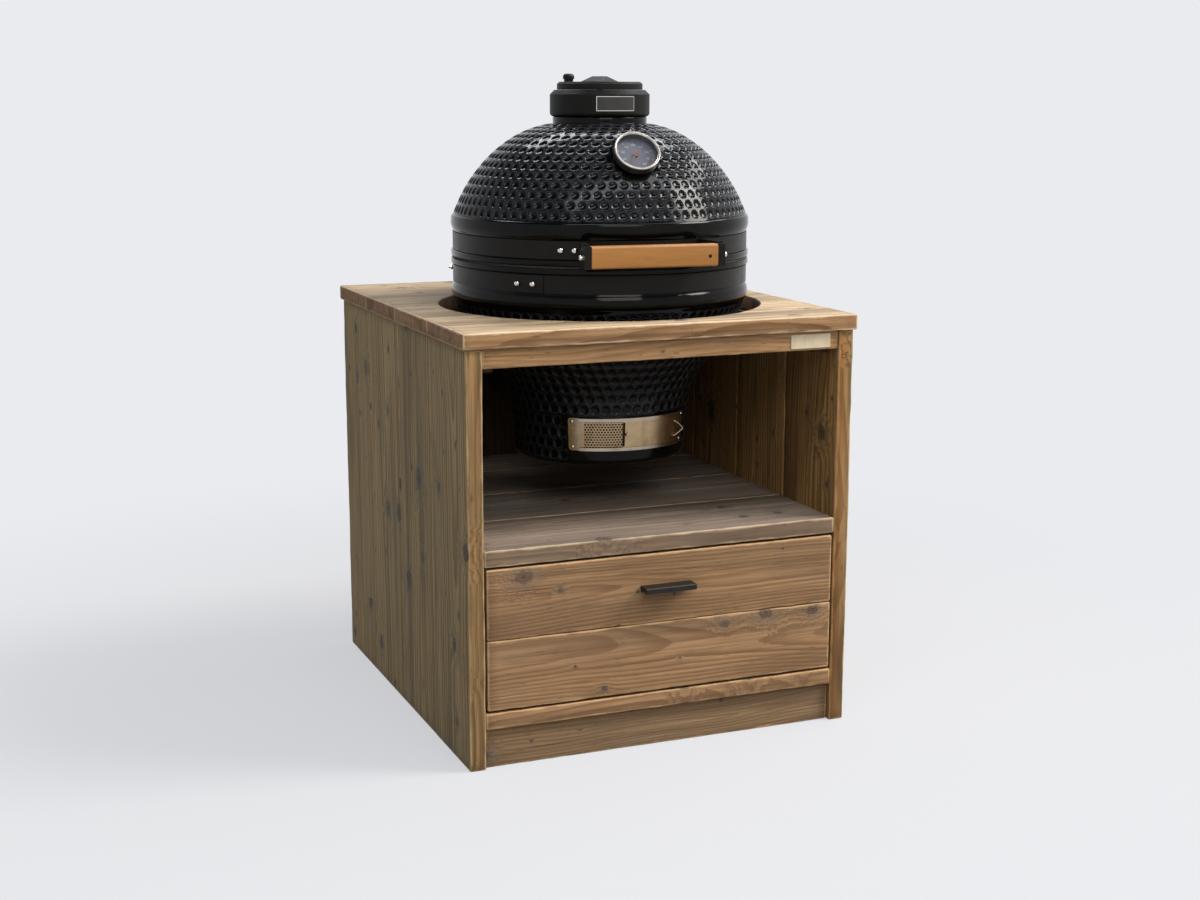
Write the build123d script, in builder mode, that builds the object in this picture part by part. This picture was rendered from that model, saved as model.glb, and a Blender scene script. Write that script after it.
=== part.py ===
"""Outdoor kitchen: a scaffold-plank cabinet with a ceramic kamado grill sunk in its round cut-out.

Millimetres, +X to the right, +Y to the back, +Z up. The origin is on the floor, under the middle of the
kitchen's bounding box.
"""
import os
from math import asin, ceil, cos, degrees, radians, sin, sqrt

from build123d import *

# Cabinet
body_depth = 792.0
body_height = 721.0
board = 29.0
top_board = 28.0
top_overhang = 5.0
plank_gap = 0.6
eased_edge = 1.5
side_plank_count = 4
top_plank_count = 4
back_plank_count = 4
shelf_plank_width = 204.0
shelf_top_z = 383.0
floor_underside_z = 70.5
plinth_setback = 10.0
apron_height = 33.5
apron_setback = 4.0
cleat_width = 30.0
cleat_height = 44.0

# Drawer
drawer_gap = 3.5
drawer_front_board = 22.0
drawer_side_board = 15.0
drawer_bottom_board = 9.0
drawer_box_length = 600.0
drawer_box_height = 170.0
drawer_box_lift = 24.0
drawer_bottom_lift = 10.0
runner_space = 13.0
runner_height = 45.0
runner_length = 560.0
runner_sheet = 1.5
runner_clearance = 0.4
pull_length = 95.0
pull_reach = 26.0
pull_height = 10.0
pull_drop = 60.0
pull_groove_radius = 5.0

# Grill: where it stands, and the heights of its rims
cutout_clearance = 24.5
cutout_side_margin = 66.5
cutout_from_front = 342.0
cutout_shift = 14.5
grill_turn = 5.0
rim_above_top = 86.0
base_height = 365.0
wall = 24.0
gasket_thickness = 1.4
gasket_width = 20.0
gasket_gap = 0.3
rim_radius = 274.0
rim_chamfer = 2.0
lip_height = 12.0
groove_depth = 5.0
groove_height = 32.5
band_thickness = 2.0
band_margin = 0.8
band_tab_thickness = 2.0
lap_start = -51.0
lap_stop = -38.0
lap_bolts = (-48.3, -41.9)

# Base of the grill
base_foot_radius = 158.0
base_foot_taper = 8.0
base_foot_height = 90.0
base_waist_radius = 202.0
base_waist_rise = 84.0
base_shoulder_inset = 6.0
base_shoulder_lean = 0.3
base_bead_height = 33.0
base_floor = 24.0
base_bottom_chamfer = 6.0
support_drop = 16.0
support_bar_height = 18.0
support_gap = 0.2
support_clearance = 1.5
waist_search_step = 1e-9

# Dome of the grill
dome_bead_height = 30.0
dome_shoulder_inset = 4.0
dome_rise = 164.0
dome_flank = (0.885, 0.37)
dome_crown = (0.66, 0.765)
collar_radius = 86.0
collar_height = 11.0
chimney_outer_radius = 78.0
chimney_inner_radius = 58.0
chimney_height = 16.0

# Cap, vent disc and knob
cap_radius = 91.0
cap_height = 47.5
cap_plate = 6.0
cap_clearance = 1.0
cap_shoulder = 8.0
cap_foot_round = 7.0
disc_chamfer = 4.0
disc_radius = 78.0
disc_height = 14.0
disc_gap = 0.4
vent_hole_radius = 13.0
vent_hole_circle = 46.0
vent_hole_count = 4
vent_hole_turn = 22.5
pivot_radius = 5.0
pivot_clearance = 0.3
grip_base = 52.0
grip_top = 20.0
grip_height = 10.0
grip_turn = 45.0
knob_stem_radius = 8.5
knob_stem_height = 5.0
knob_radius = 10.5
knob_height = 10.0
knob_fillet = 6.0
knob_place = (-47.0, 41.0)

# Handle
bar_length = 226.0
bar_height = 38.0
bar_depth = 24.0
bar_front = 320.0
bar_drop = 7.0
bar_fillet = 3.0
bracket_arm = 12.0
bracket_foot_thickness = 2.5
bracket_foot_length = 62.0
bracket_lean = 13.0
bolt_radius = 5.0
bolt_height = 7.0
bolt_fillet = 3.0
bracket_bolt_steps = (8.0, 32.0)

# Thermometer
thermometer_radius = 41.0
thermometer_depth = 18.0
thermometer_tilt = 40.0
thermometer_seat = (202.0, 180.0)
thermometer_standoff = 6.0
thermometer_sheet = 2.0
thermometer_lip = 4.5
thermometer_fit = 0.5
dial_thickness = 1.2
glass_thickness = 2.3
glass_gap = 0.2
neck_radius = 9.0
neck_clearance = 1.0
probe_radius = 3.0
probe_length = 90.0
spindle_radius = 1.5
spindle_clearance = 0.3
needle_length = 29.0
needle_tail = 9.0
needle_rest = 145.0
needle_hub_radius = 4.0
needle_hub_height = 4.0
needle_thickness = 1.0

# Draught opening, its frame and the two sliding panels
vent_lift = 27.0
vent_height = 60.0
draught_turn = 6.5
vent_sweep = 87.0
vent_window_sweep = 56.0
vent_window_margin = 6.0
track_sweep = 73.0
track_sheet = 1.2
track_flange = 6.0
panel_thickness = 1.2
panel_clearance = 0.4
panel_sweep = 45.0
panel_end_angle = 0.5
frame_thickness = 1.5
frame_seat_gap = 0.2
frame_corner_radius = 5.0
mesh_border = 6.0
mesh_rows = 5
mesh_columns = 9
mesh_hole_radius = 2.3
door_knob_radius = 3.5
door_knob_length = 9.0
door_knob_inset = 7.0
door_knob_fillet = 1.0

# Fire box, fire ring and grates
fire_box_radius = 122.0
fire_box_wall = 16.0
fire_box_floor = 16.0
fire_box_step = 66.0
fire_box_top_radius = 205.0
fire_box_height = 211.0
fire_box_window_sweep = 44.0
fire_ring_height = 86.0
grate_ledge = 10.0
charcoal_grate_thickness = 8.0
charcoal_hole_radius = 8.0
charcoal_hole_pitch = 26.0
charcoal_hole_rows = 7
grate_gap = 0.5
cooking_grate_radius = 226.0
cooking_grate_wire = 5.0
cooking_grate_pitch = 22.0
grate_seat_gap = 0.3

# Hinge at the back of the grill
hinge_reach = 24.0
hinge_pin_radius = 4.0
hinge_pin_head = 6.5
hinge_pin_head_length = 3.0
hinge_running_clearance = 0.3
hinge_fixed_clearance = 0.05
hinge_ear = 4.0
hinge_ear_gap = 0.5
hinge_outer_width = 92.0
hinge_eye_radius = 9.0
hinge_foot_sweep = 24.0
hinge_barrel_radius = 8.0

# Levels and places that follow from the sizes above
cutout_radius = rim_radius + cutout_clearance
body_width = 2 * (cutout_radius + cutout_side_margin - top_overhang)
base_shoulder_radius = rim_radius - base_shoulder_inset
dome_shoulder_radius = rim_radius - dome_shoulder_inset
front_y = -(body_depth + top_overhang - pull_reach) / 2
back_y = front_y + body_depth
inner_x = body_width / 2 - board
inner_back_y = back_y - board
floor_top_z = floor_underside_z + board
shelf_underside_z = shelf_top_z - board
grill_x = cutout_shift
grill_y = front_y + cutout_from_front
base_rim_z = body_height + top_board + rim_above_top
base_bottom_z = base_rim_z - base_height
dome_rim_z = base_rim_z + 2 * gasket_thickness + gasket_gap
groove_radius = rim_radius - groove_depth
band_radius = groove_radius + band_thickness
rim_inner_radius = rim_radius - wall
lower_groove_z = base_rim_z - lip_height - groove_height
upper_groove_z = dome_rim_z + lip_height
base_shoulder_z = lower_groove_z - base_bead_height
dome_shoulder_z = upper_groove_z + groove_height + dome_bead_height
collar_z = dome_shoulder_z + dome_rise
cap_seat_z = collar_z + collar_height
cap_top_z = cap_seat_z + cap_height
disc_z = cap_top_z + disc_gap
disc_top_z = disc_z + disc_height
foot_slope = base_foot_taper / base_foot_height
cut_through = 3 * wall
vent_start = draught_turn - vent_sweep / 2
window_start = draught_turn - vent_window_sweep / 2
track_start = draught_turn - track_sweep / 2

# The grill's own plane: its front looks a few degrees to the left of the cabinet's front
grill = Plane(
    origin=(grill_x, grill_y, 0),
    x_dir=(cos(radians(grill_turn)), -sin(radians(grill_turn)), 0),
    z_dir=(0, 0, 1),
)
grill_axis = Axis(grill.origin, (0, 0, 1))


def keep(piece, name):
    """Label a finished piece and write it to its own file."""
    piece.part.label = name
    export_step(piece.part, f"parts/{name}.step")


def outward(angle):
    """Direction away from the grill's axis, at an angle from its front towards its right."""
    return -grill.y_dir * cos(radians(angle)) + grill.x_dir * sin(radians(angle))


def section_at(angle):
    """Plane through the grill's axis: local X is the radius and local Y is the height."""
    direction = outward(angle)
    return Plane(origin=grill.origin, x_dir=direction, z_dir=direction.cross(Vector(0, 0, 1)))


def radial_plane(angle, radius, height):
    """Plane that faces away from the grill's axis, at a radius and a height."""
    direction = outward(angle)
    place = Vector(*grill.origin) + direction * radius + Vector(0, 0, height)
    return Plane(origin=place, x_dir=Vector(0, 0, 1).cross(direction), z_dir=direction)


def foot_wall_radius(height):
    """Outer radius of the base's tapered foot at a height."""
    return base_foot_radius + (height - base_bottom_z) * foot_slope


def eased_board(low, high):
    """One board between two opposite corners, with eased edges."""
    with BuildPart() as piece:
        with BuildSketch(Plane.XY.offset(low[2])):
            with Locations(((low[0] + high[0]) / 2, (low[1] + high[1]) / 2)):
                Rectangle(high[0] - low[0], high[1] - low[1])
        extrude(amount=high[2] - low[2])
        chamfer(piece.edges(), eased_edge)
    return piece.part


def keep_boards(name, corners):
    """Write one node of boards, each given by its two opposite corners."""
    boards = [eased_board(low, high) for low, high in corners]
    with BuildPart() as piece:
        add(boards)
    keep(piece, name)


def equal_planks(start, stop, count):
    """Low and high limits of equal planks laid side by side."""
    pitch = (stop - start) / count
    return [(start + i * pitch, start + (i + 1) * pitch - plank_gap) for i in range(count)]


def ripped_planks(start, stop, width):
    """Low and high limits of full-width planks, with a last one ripped to fit."""
    lows = [start + i * width for i in range(ceil((stop - start) / width))]
    return [(low, min(low + width, stop) - plank_gap) for low in lows]


os.makedirs("parts", exist_ok=True)

# Side panels: four upright planks each
for side, x_low in (("left", -body_width / 2), ("right", inner_x)):
    for i, (y_low, y_high) in enumerate(equal_planks(front_y, back_y, side_plank_count), 1):
        keep_boards(f"side_plank_{side}_{i}", [((x_low, y_low, 0), (x_low + board, y_high, body_height))])

# Back panel: upright planks between the sides
keep_boards(
    "back_planks",
    [
        ((x_low, inner_back_y, 0), (x_high, back_y - plank_gap, body_height))
        for x_low, x_high in equal_planks(-inner_x, inner_x, back_plank_count)
    ],
)

# Top: planks from side to side, cut round for the grill
top_limits = equal_planks(front_y - top_overhang, back_y + top_overhang + plank_gap, top_plank_count)
for i, (y_low, y_high) in enumerate(top_limits, 1):
    with BuildPart() as top_plank:
        with BuildSketch(Plane.XY.offset(body_height)):
            with Locations((0, (y_low + y_high) / 2)):
                Rectangle(body_width + 2 * top_overhang, y_high - y_low)
            with Locations((grill_x, grill_y)):
                Circle(cutout_radius, mode=Mode.SUBTRACT)
        extrude(amount=top_board)
        chamfer(top_plank.edges().group_by(Axis.Z)[-1], eased_edge)
    keep(top_plank, f"top_plank_{i}")

# Shelf under the grill, and the floor under the drawer
shelf_limits = ripped_planks(front_y, inner_back_y, shelf_plank_width)
for i, (y_low, y_high) in enumerate(shelf_limits, 1):
    keep_boards(f"shelf_plank_{i}", [((-inner_x, y_low, shelf_underside_z), (inner_x, y_high, shelf_top_z))])
keep_boards(
    "floor_planks",
    [
        ((-inner_x, y_low, floor_underside_z), (inner_x, y_high, floor_top_z))
        for y_low, y_high in shelf_limits
    ],
)

# Plinth, aprons and cleats
plinth_y = front_y + plinth_setback
keep_boards("plinth", [((-inner_x, plinth_y, 0), (inner_x, plinth_y + board, floor_underside_z))])
apron_z = body_height - apron_height
front_apron_y = front_y + apron_setback
rear_apron_y = inner_back_y - board
keep_boards(
    "aprons",
    [
        ((-inner_x, front_apron_y, apron_z), (inner_x, front_apron_y + board, body_height)),
        ((-inner_x, rear_apron_y, apron_z), (inner_x, inner_back_y, body_height)),
    ],
)
cleat_boxes = []
for x_low in (-inner_x, inner_x - cleat_width):
    for y_low, y_high, z_high in (
        (front_apron_y + board, rear_apron_y, body_height),
        (plinth_y + board, inner_back_y, floor_underside_z),
    ):
        cleat_boxes.append(((x_low, y_low, z_high - cleat_height), (x_low + cleat_width, y_high, z_high)))
keep_boards("cleats", cleat_boxes)

# Drawer: two front planks, a box behind them, a bar pull and nested steel runners
drawer_x = inner_x - drawer_gap
drawer_low_z = floor_top_z + drawer_gap
drawer_high_z = shelf_underside_z - drawer_gap
drawer_split_z = (drawer_low_z + drawer_high_z) / 2
drawer_back_of_front = front_y + drawer_front_board
for name, z_low, z_high in (
    ("drawer_front_lower", drawer_low_z, drawer_split_z - plank_gap),
    ("drawer_front_upper", drawer_split_z, drawer_high_z),
):
    keep_boards(name, [((-drawer_x, front_y, z_low), (drawer_x, drawer_back_of_front, z_high))])

box_x = inner_x - runner_space
box_z = drawer_low_z + drawer_box_lift
box_top_z = box_z + drawer_box_height
box_back_y = drawer_back_of_front + drawer_box_length
for side, x_low in (("left", -box_x), ("right", box_x - drawer_side_board)):
    side_box = ((x_low, drawer_back_of_front, box_z), (x_low + drawer_side_board, box_back_y, box_top_z))
    keep_boards(f"drawer_side_{side}", [side_box])
box_inner_x = box_x - drawer_side_board
keep_boards(
    "drawer_back",
    [((-box_inner_x, box_back_y - drawer_side_board, box_z), (box_inner_x, box_back_y, box_top_z))],
)
bottom_z = box_z + drawer_bottom_lift
keep_boards(
    "drawer_bottom",
    [
        (
            (-box_inner_x, drawer_back_of_front, bottom_z),
            (box_inner_x, box_back_y - drawer_side_board, bottom_z + drawer_bottom_board),
        )
    ],
)

pull_z = drawer_high_z - pull_drop
with BuildPart() as drawer_pull:
    with BuildSketch(Plane.YZ.offset(-pull_length / 2)):
        with Locations((front_y - pull_reach / 2, pull_z)):
            Rectangle(pull_reach, pull_height)
        with Locations((front_y - pull_reach / 2, pull_z - pull_height / 2)):
            Circle(pull_groove_radius, mode=Mode.SUBTRACT)
    extrude(amount=pull_length)
    chamfer(drawer_pull.edges().filter_by(Axis.X).group_by(Axis.Y)[0], eased_edge)
keep(drawer_pull, "drawer_pull")

runner_y = drawer_back_of_front + runner_length
runner_z = (box_z + box_top_z) / 2
runner_flange = runner_space - runner_sheet - runner_clearance
drawer_runner_height = runner_height - 2 * (runner_sheet + runner_clearance)


def keep_runners(name, web_x, towards, height):
    """Write a left and right pair of channels, given the right one's web face and where its flanges point."""
    with BuildPart() as pair:
        with BuildSketch(Plane.XZ.offset(-runner_y)):
            for mirror_side in (-1, 1):
                with Locations((mirror_side * (web_x + towards * runner_sheet / 2), runner_z)):
                    Rectangle(runner_sheet, height)
                flange_x = mirror_side * (web_x + towards * runner_flange / 2)
                flange_z = (height - runner_sheet) / 2
                with Locations((flange_x, runner_z + flange_z), (flange_x, runner_z - flange_z)):
                    Rectangle(runner_flange, runner_sheet)
        extrude(amount=runner_length)
    keep(pair, name)


keep_runners("cabinet_runners", inner_x, -1, runner_height)
keep_runners("drawer_runners", box_x, 1, drawer_runner_height)

# Base of the grill: a waisted bowl with a rolled shoulder, a groove for the band and a flat rim
vent_low_z = base_bottom_z + vent_lift
vent_high_z = vent_low_z + vent_height
window_low_z = vent_low_z + vent_window_margin
window_high_z = vent_high_z - vent_window_margin
foot_top_z = base_bottom_z + base_foot_height
foot_top_radius = base_foot_radius + base_foot_taper
waist_z = foot_top_z + base_waist_rise
base_inner_floor_z = base_bottom_z + base_floor
with BuildLine(Plane.XY) as waist:
    Spline(
        (foot_top_radius, foot_top_z),
        (base_waist_radius, waist_z),
        (base_shoulder_radius, base_shoulder_z),
        tangents=((foot_slope, 1), (base_shoulder_lean, 1)),
    )
with BuildPart() as base_bowl:
    with BuildSketch(section_at(90)):
        with BuildLine():
            Polyline(
                (0, base_inner_floor_z),
                (0, base_bottom_z),
                (base_foot_radius - base_bottom_chamfer, base_bottom_z),
                (base_foot_radius + foot_slope * base_bottom_chamfer, base_bottom_z + base_bottom_chamfer),
                (foot_top_radius, foot_top_z),
            )
            add(waist.line)
            ThreePointArc(
                (base_shoulder_radius, base_shoulder_z),
                (rim_radius, (base_shoulder_z + lower_groove_z) / 2),
                (groove_radius, lower_groove_z),
            )
            Polyline(
                (groove_radius, lower_groove_z),
                (groove_radius, lower_groove_z + groove_height),
                (rim_radius, lower_groove_z + groove_height + rim_chamfer),
                (rim_radius, base_rim_z - rim_chamfer),
                (rim_radius - rim_chamfer, base_rim_z),
                (rim_inner_radius, base_rim_z),
                (rim_inner_radius, base_shoulder_z),
            )
            Spline(
                (rim_inner_radius, base_shoulder_z),
                (base_waist_radius - wall, waist_z),
                (foot_top_radius - wall, foot_top_z),
                tangents=((-base_shoulder_lean, -1), (-foot_slope, -1)),
            )
            Polyline(
                (foot_top_radius - wall, foot_top_z),
                (foot_wall_radius(base_inner_floor_z) - wall, base_inner_floor_z),
                (0, base_inner_floor_z),
            )
        make_face()
    revolve(axis=grill_axis)
    with BuildSketch(section_at(window_start)):
        with Locations((base_foot_radius, (window_low_z + window_high_z) / 2)):
            Rectangle(cut_through, window_high_z - window_low_z)
    revolve(axis=grill_axis, revolution_arc=vent_window_sweep, mode=Mode.SUBTRACT)
keep(base_bowl, "base_bowl")



def waist_radius(height):
    """Outer radius of the base's waist at a height, found by halving."""
    low = 0.0
    high = 1.0
    while high - low > waist_search_step:
        middle = (low + high) / 2
        if (waist.line @ middle).Y < height:
            low = middle
        else:
            high = middle
    return (waist.line @ low).X


# Support frame: four bars between the cleats, under the top, on which the waist of the base rests
support_top_z = body_height - support_drop
support_low_z = support_top_z - support_bar_height
support_inner = waist_radius(support_top_z - eased_edge) + support_gap
cleat_face_x = inner_x - cleat_width
support_outer = cleat_face_x - abs(cutout_shift) - support_clearance
support_boxes = []
for low, high in ((-support_outer, -support_inner), (support_inner, support_outer)):
    support_boxes.append(
        (
            (-cleat_face_x, grill_y + low, support_low_z),
            (cleat_face_x, grill_y + high, support_top_z),
        )
    )
    support_boxes.append(
        (
            (grill_x + low, grill_y - support_inner, support_low_z),
            (grill_x + high, grill_y + support_inner, support_top_z),
        )
    )
keep_boards("support_frame", support_boxes)

# Gaskets: felt rings on both rims
gasket_radius = rim_radius - rim_chamfer - (wall - rim_chamfer - gasket_width) / 2
for name, z_low in (("base_gasket", base_rim_z), ("dome_gasket", dome_rim_z - gasket_thickness)):
    with BuildPart() as gasket:
        with BuildSketch(grill.offset(z_low)):
            Circle(gasket_radius)
            Circle(gasket_radius - gasket_width, mode=Mode.SUBTRACT)
        extrude(amount=gasket_thickness)
    keep(gasket, name)

# Bands: sheet-steel hoops in the grooves; the lower one laps over itself at the left of the front
lower_band_z = lower_groove_z + band_margin
upper_band_z = upper_groove_z + band_margin
band_height = groove_height - 2 * band_margin
for name, z_low in (("lower_band", lower_band_z), ("upper_band", upper_band_z)):
    with BuildPart() as band:
        with BuildSketch(grill.offset(z_low)):
            Circle(band_radius)
            Circle(groove_radius, mode=Mode.SUBTRACT)
        extrude(amount=band_height)
        if name == "lower_band":
            with BuildSketch(section_at(lap_start)):
                with Locations((band_radius + band_tab_thickness / 2, z_low + band_height / 2)):
                    Rectangle(band_tab_thickness, band_height)
            revolve(axis=grill_axis, revolution_arc=lap_stop - lap_start)
    keep(band, name)


def acorn_nut(plane):
    """One domed nut that stands on a plane."""
    with BuildPart() as nut:
        with BuildSketch(plane):
            Circle(bolt_radius)
        extrude(amount=bolt_height)
        fillet(nut.faces().sort_by(Axis(plane.origin, plane.z_dir))[-1].edges(), bolt_fillet)
    return nut.part


def keep_nuts(name, planes):
    """Write one node of domed nuts."""
    nuts = [acorn_nut(plane) for plane in planes]
    with BuildPart() as piece:
        add(nuts)
    keep(piece, name)


lap_radius = band_radius + band_tab_thickness
lower_bolt_z = lower_band_z + band_height / 2
keep_nuts("lower_band_bolts", [radial_plane(angle, lap_radius, lower_bolt_z) for angle in lap_bolts])

# Draught frame: a plate round the opening with a track above and below for the two panels
plate_inner = frame_seat_gap
plate_outer = plate_inner + frame_thickness
screen_inner = plate_outer + panel_clearance
door_inner = screen_inner + panel_thickness + panel_clearance
flange_inner = door_inner + panel_thickness + panel_clearance
flange_outer = flange_inner + track_sheet


def foot_strip(inner, outer, z_low, z_high):
    """Section of a sheet that follows the base's foot, between two distances from its wall."""
    Polygon(
        (foot_wall_radius(z_low) + inner, z_low),
        (foot_wall_radius(z_low) + outer, z_low),
        (foot_wall_radius(z_high) + outer, z_high),
        (foot_wall_radius(z_high) + inner, z_high),
        align=None,
    )


with BuildPart() as vent_frame:
    with BuildSketch(section_at(vent_start)):
        foot_strip(plate_inner, plate_outer, vent_low_z, vent_high_z)
    revolve(axis=grill_axis, revolution_arc=vent_sweep)
    fillet(vent_frame.edges().sort_by(SortBy.LENGTH)[:4], frame_corner_radius)
    with BuildSketch(section_at(track_start)):
        for z_low, z_high, flange_low, flange_high in (
            (vent_low_z, vent_low_z + track_sheet, vent_low_z, vent_low_z + track_flange),
            (vent_high_z - track_sheet, vent_high_z, vent_high_z - track_flange, vent_high_z),
        ):
            foot_strip(plate_inner, flange_outer, z_low, z_high)
            foot_strip(flange_inner, flange_outer, flange_low, flange_high)
    revolve(axis=grill_axis, revolution_arc=track_sweep)
    with BuildSketch(section_at(window_start)):
        foot_strip(0, plate_outer + panel_clearance / 2, window_low_z, window_high_z)
    revolve(axis=grill_axis, revolution_arc=vent_window_sweep, mode=Mode.SUBTRACT)
keep(vent_frame, "vent_frame")

panel_low_z = vent_low_z + track_sheet + panel_clearance
panel_high_z = vent_high_z - track_sheet - panel_clearance
panel_mid_z = (panel_low_z + panel_high_z) / 2
screen_start = track_start + panel_end_angle
with BuildPart() as mesh_screen:
    with BuildSketch(section_at(screen_start)):
        foot_strip(screen_inner, screen_inner + panel_thickness, panel_low_z, panel_high_z)
    revolve(axis=grill_axis, revolution_arc=panel_sweep)
    border_angle = degrees(mesh_border / base_foot_radius)
    column_pitch = (panel_sweep - 2 * border_angle) / mesh_columns
    row_pitch = (window_high_z - window_low_z - mesh_border) / mesh_rows
    for column in range(mesh_columns):
        hole_plane = radial_plane(screen_start + border_angle + column_pitch * (column + 0.5), 0, panel_mid_z)
        with BuildSketch(hole_plane.offset(foot_wall_radius(panel_mid_z))):
            with GridLocations(0, row_pitch, 1, mesh_rows):
                RegularPolygon(mesh_hole_radius, 6)
        extrude(amount=flange_outer, both=True, mode=Mode.SUBTRACT)
keep(mesh_screen, "mesh_screen")

door_start = track_start + track_sweep - panel_end_angle - panel_sweep
knob_angle = door_start + degrees(door_knob_inset / foot_wall_radius(panel_mid_z))
with BuildPart() as draft_door:
    with BuildSketch(section_at(door_start)):
        foot_strip(door_inner, door_inner + panel_thickness, panel_low_z, panel_high_z)
    revolve(axis=grill_axis, revolution_arc=panel_sweep)
    with BuildSketch(radial_plane(knob_angle, foot_wall_radius(panel_mid_z) + door_inner, panel_mid_z)):
        Circle(door_knob_radius)
    extrude(amount=door_knob_length)
    fillet(draft_door.faces().sort_by(Axis(grill.origin, outward(knob_angle)))[-1].edges(), door_knob_fillet)
keep(draft_door, "draft_door")

# Fire box, its grate, the fire ring and the cooking grate
ledge_z = base_inner_floor_z + fire_box_step
fire_box_top_z = base_inner_floor_z + fire_box_height
fire_box_bore = fire_box_radius - fire_box_wall
fire_ring_bore = fire_box_top_radius - fire_box_wall
with BuildPart() as fire_box:
    with BuildSketch(section_at(90)):
        with BuildLine():
            Polyline(
                (0, base_inner_floor_z),
                (fire_box_radius, base_inner_floor_z),
                (fire_box_radius, ledge_z),
                (fire_box_top_radius, fire_box_top_z),
                (fire_ring_bore, fire_box_top_z),
                (fire_box_bore + grate_ledge + charcoal_grate_thickness, ledge_z + charcoal_grate_thickness),
                (fire_box_bore + grate_ledge, ledge_z),
                (fire_box_bore, ledge_z),
                (fire_box_bore, base_inner_floor_z + fire_box_floor),
                (0, base_inner_floor_z + fire_box_floor),
                close=True,
            )
        make_face()
    revolve(axis=grill_axis)
    with BuildSketch(section_at(draught_turn - fire_box_window_sweep / 2)):
        with Locations((fire_box_radius, (base_inner_floor_z + fire_box_floor + window_high_z) / 2)):
            Rectangle(cut_through, window_high_z - base_inner_floor_z - fire_box_floor)
    revolve(axis=grill_axis, revolution_arc=fire_box_window_sweep, mode=Mode.SUBTRACT)
keep(fire_box, "fire_box")

with BuildPart() as charcoal_grate:
    with BuildSketch(grill.offset(ledge_z)):
        Circle(fire_box_bore + grate_ledge - grate_gap)
        with HexLocations(charcoal_hole_pitch / sqrt(3), charcoal_hole_rows, charcoal_hole_rows):
            Circle(charcoal_hole_radius, mode=Mode.SUBTRACT)
    extrude(amount=charcoal_grate_thickness)
keep(charcoal_grate, "charcoal_grate")

fire_ring_top_z = fire_box_top_z + fire_ring_height
with BuildPart() as fire_ring:
    with BuildSketch(grill.offset(fire_box_top_z)):
        Circle(fire_box_top_radius)
        Circle(fire_ring_bore, mode=Mode.SUBTRACT)
    extrude(amount=fire_ring_height)
    chamfer(fire_ring.edges().group_by(Axis.Z)[-1], eased_edge)
keep(fire_ring, "fire_ring")

grate_bar_count = int((cooking_grate_radius - cooking_grate_wire) / cooking_grate_pitch)
with BuildPart() as cooking_grate:
    with BuildSketch(grill.offset(fire_ring_top_z + grate_seat_gap)):
        Circle(cooking_grate_radius)
        Circle(cooking_grate_radius - cooking_grate_wire, mode=Mode.SUBTRACT)
        for i in range(-grate_bar_count, grate_bar_count + 1):
            offset_x = i * cooking_grate_pitch
            bar_half = sqrt((cooking_grate_radius - cooking_grate_wire / 2) ** 2 - offset_x**2)
            with Locations((offset_x, 0)):
                Rectangle(cooking_grate_wire, 2 * bar_half)
    extrude(amount=cooking_grate_wire)
keep(cooking_grate, "cooking_grate")

# Dome: lip, groove for the band, rolled shoulder, crown and chimney collar
tilt = radians(thermometer_tilt)
thermometer_height = dome_rim_z + thermometer_seat[1]
thermometer = Plane(
    origin=Vector(*grill.origin) + outward(0) * thermometer_seat[0] + Vector(0, 0, thermometer_height),
    x_dir=grill.x_dir,
    z_dir=outward(0) * cos(tilt) + Vector(0, 0, sin(tilt)),
)


def dome_curve(inset, chimney_radius):
    """Points of the crown from the shoulder up to the chimney, on the skin or set in by the wall."""
    shoulder = dome_shoulder_radius - inset
    rise = dome_rise - inset
    return (
        (shoulder, dome_shoulder_z),
        (dome_flank[0] * shoulder, dome_shoulder_z + dome_flank[1] * rise),
        (dome_crown[0] * shoulder, dome_shoulder_z + dome_crown[1] * rise),
        (chimney_radius, dome_shoulder_z + rise),
    )


skin = dome_curve(0, collar_radius)
lining = dome_curve(wall, chimney_inner_radius)
with BuildPart() as dome_shell:
    with BuildSketch(section_at(90)):
        with BuildLine():
            Polyline(
                (rim_inner_radius, dome_shoulder_z),
                (rim_inner_radius, dome_rim_z),
                (rim_radius - rim_chamfer, dome_rim_z),
                (rim_radius, dome_rim_z + rim_chamfer),
                (rim_radius, upper_groove_z - rim_chamfer),
                (groove_radius, upper_groove_z),
                (groove_radius, upper_groove_z + groove_height),
            )
            ThreePointArc(
                (groove_radius, upper_groove_z + groove_height),
                (rim_radius, upper_groove_z + groove_height + dome_bead_height / 2),
                (dome_shoulder_radius, dome_shoulder_z),
            )
            Spline(*skin)
            Polyline(
                skin[-1],
                (collar_radius, cap_seat_z),
                (chimney_outer_radius, cap_seat_z),
                (chimney_outer_radius, cap_seat_z + chimney_height),
                (chimney_inner_radius, cap_seat_z + chimney_height),
                lining[-1],
            )
            Spline(*reversed(lining))
            Line(lining[0], (rim_inner_radius, dome_shoulder_z))
        make_face()
    revolve(axis=grill_axis)
    with BuildSketch(thermometer):
        Circle(neck_radius + neck_clearance)
    extrude(amount=cut_through, both=True, mode=Mode.SUBTRACT)
keep(dome_shell, "dome_shell")

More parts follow.
